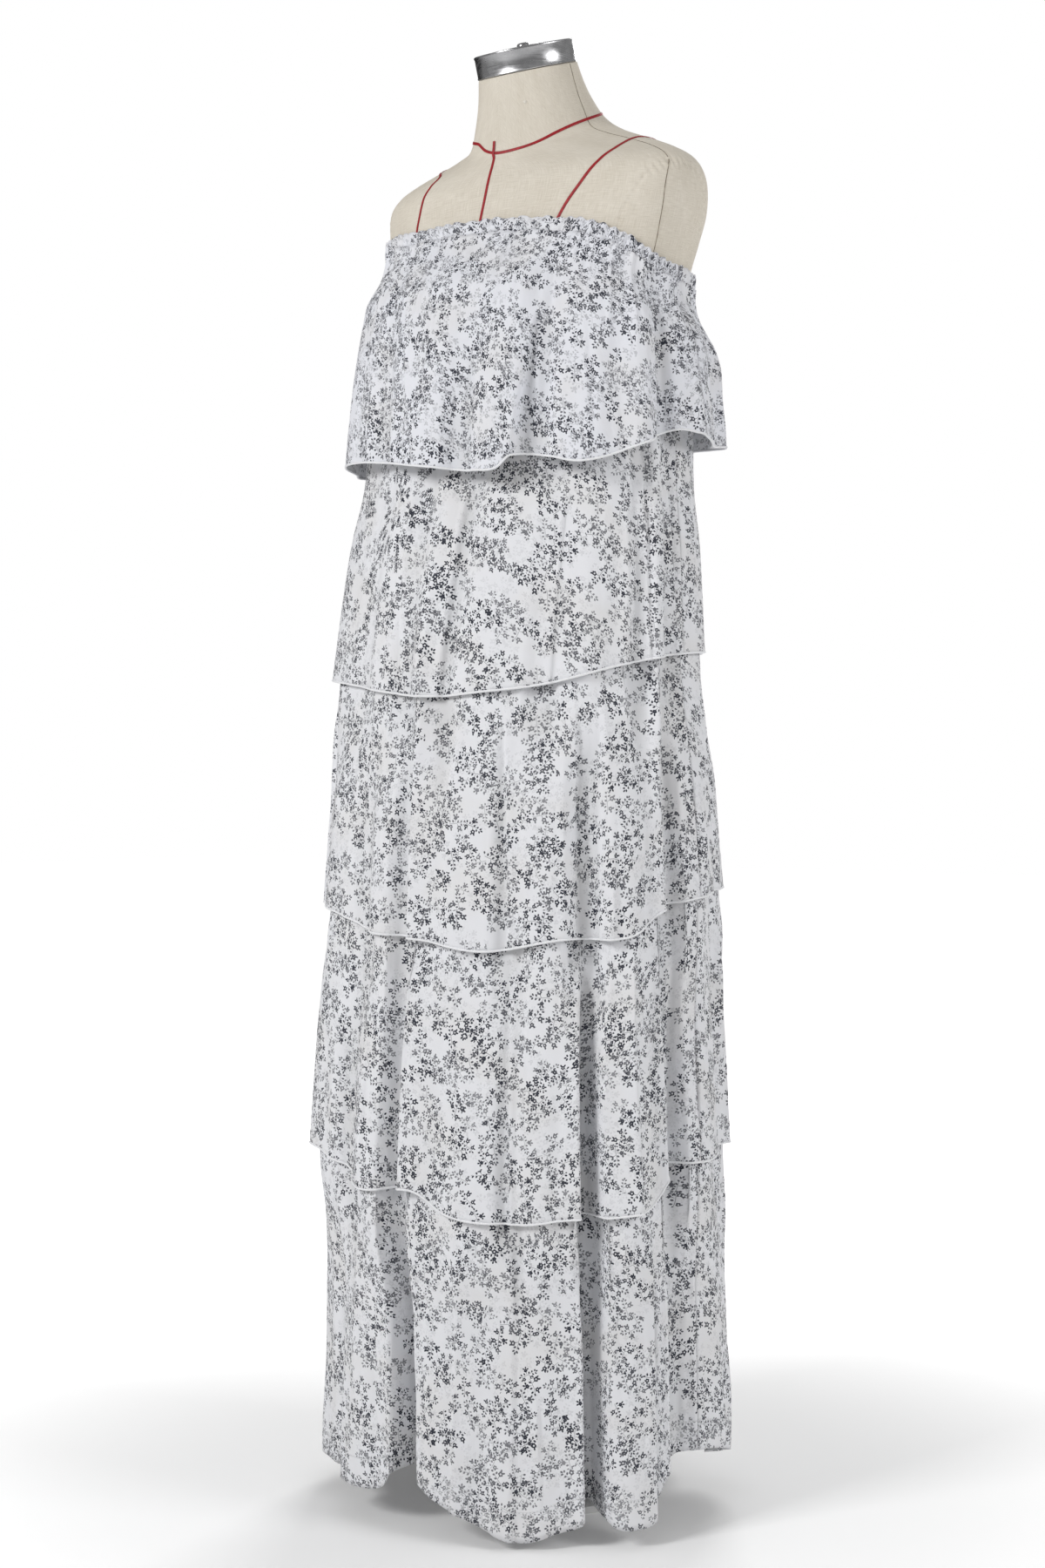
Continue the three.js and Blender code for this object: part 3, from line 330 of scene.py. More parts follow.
def either(rng, reach):
    return rng.uniform(-reach, reach)


def creaseRows(look, low, high):
    rng = np.random.default_rng(look["seed"])
    rows = []
    for number in range(look["count"]):
        turn = (number + either(rng, creaseSpread["stagger"])) * 360 / look["count"]
        length = rng.uniform(*look["length"])
        start = rng.uniform(low + length * creaseSpread["startShare"], high)
        edges = [rng.uniform(*creaseSpread["edge"]), rng.uniform(*look["wide"])]
        rng.shuffle(edges)
        rows.append(dict(
            turn=turn, drift=either(rng, creaseSpread["drift"]), start=start, length=length,
            left=edges[0], right=edges[1],
            depth=rng.choice([creaseSpread["hollow"], 1]) * rng.uniform(*look["depth"]),
        ))
    return rows


def gatherRows(look):
    rng = np.random.default_rng(look["seed"])
    rows = []
    for number in range(look["count"]):
        turn = (number + either(rng, look["stagger"])) * 360 / look["count"]
        width = rng.uniform(*look["width"])
        rows.append(dict(
            turn=turn, drift=either(rng, look["drift"]), start=None, length=rng.uniform(*look["length"]),
            left=width, right=width, depth=rng.uniform(*look["depth"]),
        ))
    return rows


def creasePush(rows, turn, z, top):
    push = np.zeros(np.shape(turn))
    past = creaseFade["past"]
    for row in rows:
        start = top if row["start"] is None else row["start"]
        fall = np.clip((start - z) / row["length"], -past, 1 + past)
        away = wrapped(turn - row["turn"] - row["drift"] * fall)
        half = np.where(away < 0, row["left"], row["right"])
        across = np.cos(np.minimum(np.abs(away) / half, 1) * math.pi / 2) ** 2
        rise = 1.0 if row["start"] is None else smooth(fall, 0, creaseFade["inBy"])
        push += row["depth"] * across * rise * (1 - smooth(fall, creaseFade["outFrom"], 1))
    return push


tierCreases = [
    creaseRows(look, min(row[1] for row in tier["hem"]), tier["top"])
    for look, tier in zip(creaseLook, tiers)
]
flounceGathers = gatherRows(gathers)
coverLook = dict(flounceClear=(10, 70), flounceFloor=-2.2, peek=12, fade=60, room=0.5, hemRoom=2.6)


# Creases fade out where the tier above covers the cloth, and stay clear of the tier below
def smallPush(level, turn, z):
    top = topHeight(level, turn)
    push = creasePush(tierCreases[level], turn, z, top) + pleatPush(pleats[level], turn, z)
    if level == 0:
        push = np.maximum(push * smooth(top - z, *coverLook["flounceClear"]), coverLook["flounceFloor"])
        return push + creasePush(flounceGathers, turn, z, top)
    hemAbove = around(tiers[level - 1]["hem"], turn)
    push = push * smooth(hemAbove + coverLook["peek"] - z, 0, coverLook["fade"])
    if level + 1 < len(tiers):
        below = tiers[level + 1]["top"]
        hem = around(tiers[level]["hem"], turn)
        room = coverLook["room"] + coverLook["hemRoom"] * smooth(below - z, 0, below - hem)
        push = np.where(z < below, np.maximum(push, -room), push)
    return push


seamLook = dict(depth=0.9, width=2.6)


def clothPoint(level, turn, z):
    push = smallPush(level, turn, z)
    apart = np.radians(np.abs(np.abs(wrapped(turn)) - 90)) * tiers[level]["rings"][0][1]
    push = push - seamLook["depth"] * np.exp(-(apart / seamLook["width"]) ** 2)
    return tierPoint(level, turn, z) + outwards(turn) * push[..., None]


# Meshes
def gridFaces(rows, columns, closed=False):
    faces = []
    last = columns if closed else columns - 1
    for row in range(rows - 1):
        for column in range(last):
            a = row * columns + column
            b = row * columns + (column + 1) % columns
            faces.append((a, a + columns, b + columns, b))
    return faces


# Faces of a solid made of rings, with a lid at each end round a middle point that follows the rings
def ringFaces(rows, columns):
    faces = [(a, d, c, b) for a, b, c, d in gridFaces(rows, columns, closed=True)]
    count = rows * columns
    last = count - columns
    for i in range(columns):
        n = (i + 1) % columns
        faces.append((count, n, i))
        faces.append((count + 1, last + i, last + n))
    return faces


def newPiece(name, points, faces, materials, uv=None):
    mesh = bpy.data.meshes.new(name)
    mesh.from_pydata(np.asarray(points, float).tolist(), [], faces)
    mesh.polygons.foreach_set("use_smooth", np.ones(len(mesh.polygons), bool))
    for material in materials:
        mesh.materials.append(material)
    if uv is not None:
        corners = np.empty(len(mesh.loops), np.int64)
        mesh.loops.foreach_get("vertex_index", corners)
        layer = mesh.uv_layers.new(name="clothMap")
        layer.uv.foreach_set("vector", np.asarray(uv, np.float32)[corners].ravel())
    mesh.update()
    piece = bpy.data.objects.new(name, mesh)
    bpy.context.scene.collection.objects.link(piece)
    return piece


def thicken(piece, thickness, rim=0):
    wall = piece.modifiers.new("wall", "SOLIDIFY")
    wall.thickness = thickness * mm
    wall.offset = -1
    wall.material_offset = 1
    wall.material_offset_rim = rim


def hold(piece, name, values):
    made = piece.data.attributes.new(name, "FLOAT", "POINT")
    made.data.foreach_set("value", values.astype(np.float32).ravel())


# Every piece rides the one body, and nodes are the solids that it stands in for
def enter(piece, slot, *nodes):
    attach(piece, "root")
    if nodes:
        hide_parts(*nodes)


def runLengths(points, axis):
    steps = np.linalg.norm(np.diff(points, axis=axis), axis=-1)
    lead = np.zeros_like(np.take(steps, [0], axis=axis))
    return np.concatenate([lead, np.cumsum(steps, axis=axis)], axis=axis)


# Node trees
def put(tree, kind, feeds=(), **settings):
    made = tree.nodes.new(kind)
    for name, value in settings.items():
        setattr(made, name, value)
    pairs = feeds.items() if isinstance(feeds, dict) else enumerate(feeds)
    for place, feed in pairs:
        if isinstance(feed, bpy.types.NodeSocket):
            tree.links.new(feed, made.inputs[place])
        elif feed is not None:
            made.inputs[place].default_value = feed
    return made


def calc(tree, operation, *feeds):
    return put(tree, "ShaderNodeMath", feeds, operation=operation).outputs[0]


def vectorCalc(tree, operation, *feeds):
    made = put(tree, "ShaderNodeVectorMath", feeds, operation=operation)
    return made.outputs["Value" if operation == "LENGTH" else "Vector"]


def scaled(tree, vector, scale):
    feeds = {"Vector": vector, "Scale": scale}
    return put(tree, "ShaderNodeVectorMath", feeds, operation="SCALE").outputs["Vector"]


def noise(tree, place, scale, detail):
    feeds = {"Vector": place, "Scale": scale, "Detail": detail}
    return put(tree, "ShaderNodeTexNoise", feeds).outputs["Fac"]


def stretched(tree, place, scale):
    return put(tree, "ShaderNodeMapping", {"Vector": place, "Scale": scale}).outputs["Vector"]


def attribute(tree, name):
    return put(tree, "ShaderNodeAttribute", (), attribute_name=name).outputs["Fac"]


def flatPlace(tree):
    return put(tree, "ShaderNodeUVMap", (), uv_map="clothMap").outputs["UV"]


def objectPlace(tree):
    return put(tree, "ShaderNodeTexCoord").outputs["Object"]


def ramped(tree, value, fromLow, fromHigh, low=0.0, high=1.0, kind="SMOOTHSTEP"):
    feeds = [value, fromLow, fromHigh, low, high]
    return put(tree, "ShaderNodeMapRange", feeds, interpolation_type=kind).outputs[0]


def newMaterial(name):
    material = bpy.data.materials.new(name)
    material.use_nodes = True
    tree = material.node_tree
    shader = tree.nodes["Principled BSDF"]
    return material, tree, shader


def mixedColour(tree, share, first, second):
    return put(tree, "ShaderNodeMix", {0: share, 6: first, 7: second}, data_type="RGBA").outputs[2]


def bumped(tree, shader, height, strength, distance):
    bump = put(tree, "ShaderNodeBump", {"Strength": strength, "Distance": distance, "Height": height})
    tree.links.new(bump.outputs["Normal"], shader.inputs["Normal"])


def setShader(shader, values):
    for name, value in values.items():
        shader.inputs[name].default_value = value


def groupTree(name, kind, inputs, outputs):
    tree = bpy.data.node_groups.new(name, kind)
    for way, sockets in (("INPUT", inputs), ("OUTPUT", outputs)):
        for title, socket in sockets.items():
            tree.interface.new_socket(title, in_out=way, socket_type="NodeSocket" + socket)
    return tree, tree.nodes.new("NodeGroupInput"), tree.nodes.new("NodeGroupOutput")


grainLook = dict(between=(0.3, 0.7), depth=0.0003)


# Plain finish with a fine grain
def grainyMaterial(name, scale, detail, dark, pale, rough, bump=0.0):
    material, tree, shader = newMaterial(name)
    grain = noise(tree, objectPlace(tree), scale, detail)
    colour = mixedColour(tree, ramped(tree, grain, *grainLook["between"]), dark, pale)
    tree.links.new(colour, shader.inputs["Base Color"])
    if bump > 0:
        bumped(tree, shader, grain, bump, grainLook["depth"])
    setShader(shader, {"Roughness": rough})
    return material


# Sprig print, in millimetres of flat cloth: one small sprig charted, strewn and turned in layers
sprig = dict(
    leaves=[  # x, y, angle, half length, half width
        (0.4, 10.2, 85, 1.3, 0.85), (-1.6, 8.6, 140, 1.3, 0.8), (1.9, 8.5, 35, 1.3, 0.85),
        (-1.5, 5.2, 150, 1.3, 0.85), (1.8, 5.0, 30, 1.2, 0.8), (-6.6, 4.9, 125, 1.3, 0.85),
        (-7.5, 2.0, 190, 1.2, 0.8), (1.6, 1.3, 25, 1.3, 0.85), (8.0, -0.5, 20, 1.3, 0.85),
        (6.0, 1.2, 80, 1.3, 0.85), (7.4, -3.2, -40, 1.3, 0.8), (1.7, -4.3, -15, 1.3, 0.85),
        (-6.4, -6.0, 175, 1.3, 0.85), (-4.4, -9.1, 250, 1.2, 0.8), (1.5, -8.0, -25, 1.3, 0.85),
        (-0.5, -10.4, 260, 1.3, 0.8), (2.6, -1.6, 8, 2.2, 0.22), (-2.2, 1.3, 145, 2.4, 0.22),
    ],
    flowers=[(-4.6, 2.7, 2.2, 0.36), (4.9, -1.6, 1.9, 0.05), (-3.7, -6.5, 1.9, 0.3)],  # x, y, radius, hole
    petals=5, petalDepth=0.12,
    stemSway=0.9, stemBend=0.24, stemHalf=0.26, stemMiddle=-1.5, stemReach=7.0, stemTone=0.65,
    stemEdge=(1.6, 0.4),
    frontLayers=[(0.0, 17.5, 0.0), (61.3, 19.0, 0.2)],  # shift, cell, sparser by
    ghostLayers=[(137.0, 17.0, 0.1)],
    layerSkew=0.37, spread=0.8, size=(0.95, 1.3),
    clusterScale=0.055, keptAbove=0.25, keptChance=0.7, toneFrom=(0.3, 0.8), tone=(0.7, 1.0),
    softness=0.26, ghostSoftness=0.42, ghostTone=0.36, skirtGhost=0.14, insideTone=0.5,
    ink=(0.012, 0.015, 0.030, 1.0), warm=(0.775, 0.755, 0.735, 1.0), warmShare=0.35, warmScale=0.018,
    hemBand=27, hemGhost=0.5, hemLine=0.22,
)
printSockets = dict(Vector="Vector", Softness="Float")


def motifPlace(tree, place, x, y, angle, halfX, halfY):
    feeds = [place, (x, y, 0.0), (0.0, 0.0, math.radians(angle)), (halfX, halfY, 1.0)]
    return put(tree, "ShaderNodeMapping", feeds, vector_type="TEXTURE").outputs["Vector"]


def motifTree():
    tree, entry, leave = groupTree("sprigMotif", "ShaderNodeTree", printSockets, dict(Ink="Float"))
    place = entry.outputs["Vector"]
    soft = entry.outputs["Softness"]
    nearest = None
    for leaf in sprig["leaves"]:
        away = vectorCalc(tree, "LENGTH", motifPlace(tree, place, *leaf))
        nearest = away if nearest is None else calc(tree, "MINIMUM", nearest, away)
    for x, y, radius, hole in sprig["flowers"]:
        local = motifPlace(tree, place, x, y, 0, radius, radius)
        split = put(tree, "ShaderNodeSeparateXYZ", [local])
        angle = calc(tree, "ARCTAN2", split.outputs["Y"], split.outputs["X"])
        wave = calc(tree, "COSINE", calc(tree, "MULTIPLY", angle, float(sprig["petals"])))
        reach = calc(tree, "MULTIPLY_ADD", wave, sprig["petalDepth"], 1.0)
        away = calc(tree, "MULTIPLY", vectorCalc(tree, "LENGTH", local), reach)
        off = calc(tree, "ABSOLUTE", calc(tree, "SUBTRACT", away, (1 + hole) / 2))
        nearest = calc(tree, "MINIMUM", nearest, calc(tree, "DIVIDE", off, (1 - hole) / 2))
    outer = calc(tree, "ADD", 1.0, soft)
    inner = calc(tree, "SUBTRACT", 1.0, soft)
    motif = ramped(tree, nearest, outer, inner)
    split = put(tree, "ShaderNodeSeparateXYZ", [place])
    sway = calc(tree, "SINE", calc(tree, "MULTIPLY", split.outputs["Y"], sprig["stemBend"]))
    off = calc(tree, "MULTIPLY_ADD", sway, -sprig["stemSway"], split.outputs["X"])
    across = calc(tree, "DIVIDE", calc(tree, "ABSOLUTE", off), sprig["stemHalf"])
    past = calc(tree, "ABSOLUTE", calc(tree, "SUBTRACT", split.outputs["Y"], sprig["stemMiddle"]))
    past = calc(tree, "MAXIMUM", calc(tree, "SUBTRACT", past, sprig["stemReach"]), 0.0)
    drawn = calc(tree, "ADD", across, past)
    stem = ramped(tree, drawn, *sprig["stemEdge"], 0.0, sprig["stemTone"])
    tree.links.new(calc(tree, "MAXIMUM", motif, stem), leave.inputs["Ink"])
    return tree


def printed(tree, group, place, softness):
    feeds = {"Vector": place, "Softness": softness}
    return put(tree, "ShaderNodeGroup", feeds, node_tree=group).outputs["Ink"]


def printTree(name, layers, motif):
    tree, entry, leave = groupTree(name, "ShaderNodeTree", printSockets, dict(Ink="Float"))
    total = None
    for shift, cell, sparser in layers:
        offset = (shift, shift * sprig["layerSkew"], 0.0)
        moved = vectorCalc(tree, "ADD", entry.outputs["Vector"], offset)
        spots = {"Vector": moved, "Scale": 1 / cell, "Randomness": sprig["spread"]}
        cells = put(tree, "ShaderNodeTexVoronoi", spots, voronoi_dimensions="2D")
        chance = put(tree, "ShaderNodeSeparateXYZ", [cells.outputs["Color"]])
        local = vectorCalc(tree, "SUBTRACT", moved, cells.outputs["Position"])
        level = vectorCalc(tree, "MULTIPLY", local, (1.0, 1.0, 0.0))
        angle = calc(tree, "MULTIPLY", chance.outputs["X"], 2 * math.pi)
        turning = {"Vector": level, "Angle": angle}
        turned = put(tree, "ShaderNodeVectorRotate", turning, rotation_type="Z_AXIS")
        size = ramped(tree, chance.outputs["Y"], 0.0, 1.0, *sprig["size"], kind="LINEAR")
        sized = scaled(tree, turned.outputs["Vector"], size)
        shape = printed(tree, motif, sized, entry.outputs["Softness"])
        patch = noise(tree, cells.outputs["Position"], sprig["clusterScale"], 1.0)
        lucky = calc(tree, "MULTIPLY_ADD", chance.outputs["Z"], sprig["keptChance"], patch)
        kept = calc(tree, "GREATER_THAN", lucky, sprig["keptAbove"] + sparser + sprig["keptChance"] / 2)
        tone = ramped(tree, chance.outputs["Z"], *sprig["toneFrom"], *sprig["tone"], kind="LINEAR")
        ink = calc(tree, "MULTIPLY", shape, calc(tree, "MULTIPLY", kept, tone))
        total = ink if total is None else calc(tree, "MAXIMUM", total, ink)
    tree.links.new(total, leave.inputs["Ink"])
    return tree


sprigMotif = motifTree()
frontPrint = printTree("sprigFront", sprig["frontLayers"], sprigMotif)
ghostPrint = printTree("sprigGhost", sprig["ghostLayers"], sprigMotif)


# Painted shade: sheer cloth is painted greyer in its folds, both for the shade that falls into them and for
# the layers that lie behind each other.
# Depths are in millimetres and the blur is in degrees.
paintedFoldShade = dict(blur=4.5, start=0.3, full=4.5, share=0.2, shadeGrey=(0.36, 0.37, 0.37, 1.0))


def sunkDepth(points, turn, step):
    out = (points * outwards(turn)).sum(-1) / mm
    blur = paintedFoldShade["blur"] / step
    reach = round(3 * blur)
    weights = np.exp(-0.5 * (np.arange(-reach, reach + 1) / blur) ** 2)
    wide = np.pad(out, ((0, 0), (reach, reach)), "edge")
    even = np.stack([np.convolve(row, weights / weights.sum(), "valid") for row in wide])
    return even - out


chiffonLook = dict(
    flounce=(0.84, 0.85, 0.90, 1), skirt=(0.85, 0.855, 0.885, 1), inside=(0.80, 0.81, 0.84, 1),
    printTone=0.97, hemBlend=0.6, hemLineHalf=(0.2, 1.0), warmFrom=(0.42, 0.68),
    grainScale=1.6, grainShare=0.12, crinkleScale=0.13, bump=0.35, bumpDepth=0.0012,
    surface={"Roughness": 0.85, "Specular IOR Level": 0.15, "Sheen Weight": 0.2, "Sheen Roughness": 0.45},
)


def chiffonMaterial(name, white, ghost, fade=chiffonLook["printTone"], turnedHem=False):
    material, tree, shader = newMaterial(name)
    place = scaled(tree, flatPlace(tree), 1 / mm)
    ink = calc(tree, "MULTIPLY", printed(tree, frontPrint, place, sprig["softness"]), fade)
    if ghost > 0:
        through = ghost
        if turnedHem:
            fromHem = attribute(tree, "fromHem")
            band = float(sprig["hemBand"])
            blend = chiffonLook["hemBlend"]
            through = ramped(tree, fromHem, band - blend, band + blend, sprig["hemGhost"], ghost)
            off = calc(tree, "ABSOLUTE", calc(tree, "SUBTRACT", fromHem, band))
            line = ramped(tree, off, *chiffonLook["hemLineHalf"], sprig["hemLine"], 0.0)
            ink = calc(tree, "MAXIMUM", ink, line)
        behind = printed(tree, ghostPrint, place, sprig["ghostSoftness"])
        ink = calc(tree, "MAXIMUM", ink, calc(tree, "MULTIPLY", behind, through))
    patch = noise(tree, place, sprig["warmScale"], 2.0)
    warmth = ramped(tree, patch, *chiffonLook["warmFrom"], 0.0, sprig["warmShare"])
    ground = mixedColour(tree, warmth, white, sprig["warm"])
    # Painted shade: the ground colour turns grey where the cloth is sunk into a fold
    sunk = attribute(tree, "sunk")
    paintedShade = ramped(tree, sunk, paintedFoldShade["start"], paintedFoldShade["full"], 0.0, paintedFoldShade["share"])
    ground = mixedColour(tree, paintedShade, ground, paintedFoldShade["shadeGrey"])
    tree.links.new(mixedColour(tree, ink, ground, sprig["ink"]), shader.inputs["Base Color"])
    grain = noise(tree, place, chiffonLook["grainScale"], 1.0)
    crinkle = noise(tree, place, chiffonLook["crinkleScale"], 2.0)
    height = calc(tree, "MULTIPLY_ADD", grain, chiffonLook["grainShare"], crinkle)
    bumped(tree, shader, height, chiffonLook["bump"], chiffonLook["bumpDepth"])
    setShader(shader, chiffonLook["surface"])
    return material


chiffonFlounce = chiffonMaterial("chiffonFlounce", chiffonLook["flounce"], sprig["ghostTone"])
chiffonSkirt = chiffonMaterial("chiffonSkirt", chiffonLook["skirt"], sprig["skirtGhost"])
chiffonHem = chiffonMaterial("chiffonHem", chiffonLook["skirt"], sprig["skirtGhost"], turnedHem=True)
chiffonInside = chiffonMaterial("chiffonInside", chiffonLook["inside"], 0.0, sprig["insideTone"])
hemThread = grainyMaterial(
    "whiteThread", scale=900.0, detail=1.0, dark=(0.86, 0.87, 0.90, 1), pale=(0.95, 0.95, 0.96, 1),
    rough=0.7, bump=0.4)
print("cloth finishes ready")

# Panels of the tiers
panelLook = dict(
    frontColumns=330, backColumns=200, rows=(52, 76, 58, 58, 62),
    printFrom=0.7, printFlare=0.4, printStep=0.9, backStep=0.45,
)
panelSides = dict(front=0, back=180)  # turn at the middle of each panel


def panelTurns(middle, columns):
    return middle + np.linspace(-90, 90, columns + 1)


def makePanel(level, side, middle):
    tier = tiers[level]
    columns = panelLook["frontColumns"] if middle == 0 else panelLook["backColumns"]
    turns = panelTurns(middle, columns)
    share = np.linspace(0, 1, panelLook["rows"][level] + 1)[:, None]
    z = topHeight(level, turns) * (1 - share) + around(tier["hem"], turns) * share
    turn = np.broadcast_to(turns, z.shape)
    points = clothPoint(level, turn, z) * mm
    run = runLengths(points, 1)
    run = run - run[:, [round(columns * panelLook["printFrom"])]]
    start = panelLook["printStep"] * level + panelLook["backStep"] * (middle != 0)
    u = run + (run[-1] - run) * panelLook["printFlare"] + start
    uv = np.stack([u, runLengths(points, 0)], -1).reshape(-1, 2)
    material = [chiffonFlounce, chiffonSkirt, chiffonSkirt, chiffonSkirt, chiffonHem][level]
    finishes = [material, chiffonInside, hemThread]
    name = f"{tier['name']}_{side}"
    piece = newPiece(name + "_cloth", points.reshape(-1, 3), gridFaces(*z.shape), finishes, uv)
    # How deep each point lies in a fold, which the chiffon finishes turn into painted shade
    hold(piece, "sunk", sunkDepth(points, turn, 180 / columns))
    if material is chiffonHem:
        hold(piece, "fromHem", z - z[-1])
    thicken(piece, cloth["thickness"], rim=finishes.index(hemThread))
    enter(piece, "chiffon", name)
    return piece, points[-1]


hemLines = {}
panels = {}
for level, tier in enumerate(tiers):
    for side, middle in panelSides.items():
        panels[level, side], hemLines[level, side] = makePanel(level, side, middle)
    print(tier["name"], "panels hung")

# Elastic casing round the top edge
casing = dict(
    seed=83, gathers=80, steps=9, height=12.5, innerLift=0.9, outerLift=4.6, gatherDepth=2.6,
    frill=1.8, frillUneven=1.6, frillFrom=0.6, thickness=0.6, cut=(0.55, 0.032),
    wobbles=60, wobble=0.5, sway=3, sizes=45, size=(0.45, 1.25), past=95, printStart=0.31, backStep=0.7,
    section=[(0.0, 0.0), (0.03, 0.5), (0.10, 0.95), (0.35, 1.06), (0.72, 1.0), (0.96, 0.72), (1.0, 0.42),
             (0.97, 0.18), (0.84, 0.02), (0.62, -0.04)],
)


def uneven(rng, turns, middle, count, low, high):
    places = middle + np.linspace(-casing["past"], casing["past"], count)
    return np.interp(turns, places, rng.uniform(low, high, count))


def casingRing(middle, out, up):
    turns = panelTurns(middle, casing["gathers"] // 2 * casing["steps"])
    rng = np.random.default_rng(casing["seed"] + (middle != 0))
    wobble = uneven(rng, turns, middle, casing["wobbles"], -casing["wobble"], casing["wobble"])
    size = uneven(rng, turns, middle, casing["sizes"], *casing["size"])
    phase = np.radians(turns) * casing["gathers"] + wobble * casing["sway"]
    rise = (0.5 - 0.5 * np.cos(phase)) * size
    reach = casing["outerLift"] - casing["innerLift"] + casing["gatherDepth"] * rise
    frill = casing["frill"] * rise + casing["frillUneven"] * wobble
    frill = frill * smooth(np.array(up), casing["frillFrom"], 1.0)
    z = around(neckline, turns) - casing["height"] * (1 - up) + frill
    lift = casing["innerLift"] + reach * out
    return inset(lambda at: formPoint(at, z), turns, -lift) * mm


def makeCasing(side, middle):
    points = np.array([casingRing(middle, out, up) for out, up in casing["section"]])
    start = casing["printStart"] + casing["backStep"] * (middle != 0)
    spread = np.linspace(0, casing["cut"][0], points.shape[1]) + start
    u = np.broadcast_to(spread, points.shape[:2])
    uv = np.stack([u, runLengths(points, 0)], -1).reshape(-1, 2)
    faces = gridFaces(*points.shape[:2])
    name = f"neck_casing_{side}"
    piece = newPiece(name + "_cloth", points.reshape(-1, 3), faces, [chiffonFlounce, chiffonInside], uv)
    thicken(piece, casing["thickness"])
    enter(piece, "chiffon", name)
    return piece


casings = {side: makeCasing(side, middle) for side, middle in panelSides.items()}
print("casing gathered")

# Rolled hems and rows of stitches, grown along lines by Geometry Nodes: in metres, and proud in millimetres
hemLook = dict(radius=0.00115, sides=8, lift=0.0007, inset=0.00035)
stitchLook = dict(
    length=0.0024, pitch=0.0034, thread=0.00032, segments=6, rings=4,
    hemColumns=400, casingPlace=(0.985, 0.2), proud=0.25,
)


def endTree(tree, entry, leave, grown):
    soft = put(tree, "GeometryNodeSetShadeSmooth", [grown])
    real = put(tree, "GeometryNodeRealizeInstances", [soft.outputs[0]])
    feeds = {"Geometry": real.outputs[0], "Material": entry.outputs["Finish"]}
    dyed = put(tree, "GeometryNodeSetMaterial", feeds)
    tree.links.new(dyed.outputs[0], leave.inputs["Piece"])
    return tree


def cordTree():
    inputs = dict(Line="Geometry", Radius="Float", Sides="Int", Finish="Material")
    tree, entry, leave = groupTree("rolledEdge", "GeometryNodeTree", inputs, dict(Piece="Geometry"))
    line = put(tree, "GeometryNodeMeshToCurve", [entry.outputs["Line"]])
    ring = put(tree, "GeometryNodeCurvePrimitiveCircle", {
        "Resolution": entry.outputs["Sides"], "Radius": entry.outputs["Radius"]})
    tube = put(tree, "GeometryNodeCurveToMesh", {
        "Curve": line.outputs[0], "Profile Curve": ring.outputs["Curve"], "Fill Caps": True})
    return endTree(tree, entry, leave, tube.outputs[0])


def stitchTree():
    inputs = dict(Line="Geometry", Pitch="Float", Stitch="Vector", Finish="Material")
    tree, entry, leave = groupTree("stitchRow", "GeometryNodeTree", inputs, dict(Piece="Geometry"))
    line = put(tree, "GeometryNodeMeshToCurve", [entry.outputs["Line"]])
    spacing = {"Curve": line.outputs[0], "Length": entry.outputs["Pitch"]}
    spots = put(tree, "GeometryNodeCurveToPoints", spacing, mode="LENGTH")
    bead = put(tree, "GeometryNodeMeshUVSphere", {
        "Segments": stitchLook["segments"], "Rings": stitchLook["rings"], "Radius": 1.0})
    shaped = put(tree, "GeometryNodeTransform", {
        "Geometry": bead.outputs[0], "Scale": entry.outputs["Stitch"]})
    sewn = put(tree, "GeometryNodeInstanceOnPoints", {
        "Points": spots.outputs["Points"], "Instance": shaped.outputs[0],
        "Rotation": spots.outputs["Rotation"]})
    return endTree(tree, entry, leave, sewn.outputs[0])


def grownPiece(name, points, closed, tree, values, slot):
    count = len(points)
    edges = [(i, (i + 1) % count) for i in range(count if closed else count - 1)]
    mesh = bpy.data.meshes.new(name + "_line")
    mesh.from_pydata(np.asarray(points, float).tolist(), edges, [])
    line = bpy.data.objects.new(name + "_line", mesh)
    bpy.context.scene.collection.objects.link(line)
    grow = line.modifiers.new("grow", "NODES")
    grow.node_group = tree
    for item in tree.interface.items_tree:
        if item.in_out == "INPUT" and item.name in values:
            grow[item.identifier] = values[item.name]
    graph = bpy.context.evaluated_depsgraph_get()
    grown = bpy.data.meshes.new_from_object(line.evaluated_get(graph))
    grown.name = name
    line.modifiers.remove(grow)
    bpy.data.objects.remove(line)
    piece = bpy.data.objects.new(name, grown)
    bpy.context.scene.collection.objects.link(piece)
    enter(piece, slot)


rolledEdge = cordTree()
stitchRow = stitchTree()


def loopLine(front, back):
    return np.concatenate([front, back[1:-1]])


def loopTurns(front, back):
    return loopLine(panelTurns(0, front), panelTurns(180, back))


def hemRoll(level):
    line = loopLine(hemLines[level, "front"], hemLines[level, "back"])
    turns = loopTurns(panelLook["frontColumns"], panelLook["backColumns"])
    line = line - outwards(turns) * hemLook["inset"] + np.array([0, 0, hemLook["lift"]])
    values = {"Radius": hemLook["radius"], "Sides": hemLook["sides"], "Finish": hemThread}
    grownPiece(f"{tiers[level]['name']}_hem", line, True, rolledEdge, values, "chiffon")


def stitches(name, line):
    size = (stitchLook["thread"], stitchLook["thread"], stitchLook["length"] / 2)
    values = {"Pitch": stitchLook["pitch"], "Stitch": size, "Finish": hemThread}
    grownPiece(name, line, True, stitchRow, values, "chiffon")


lastTier = len(tiers) - 1
for level in range(lastTier):
    hemRoll(level)
hemTurns = loopTurns(stitchLook["hemColumns"], stitchLook["hemColumns"])
hemLine = clothPoint(lastTier, hemTurns, around(tiers[lastTier]["hem"], hemTurns) + sprig["hemBand"])
stitches("tier_5_hem_stitches", (hemLine + outwards(hemTurns) * stitchLook["proud"]) * mm)
casingLine = loopLine(*(casingRing(middle, *stitchLook["casingPlace"]) for middle in panelSides.values()))
stitches("neck_casing_stitches", casingLine)
print("hems rolled and stitched")


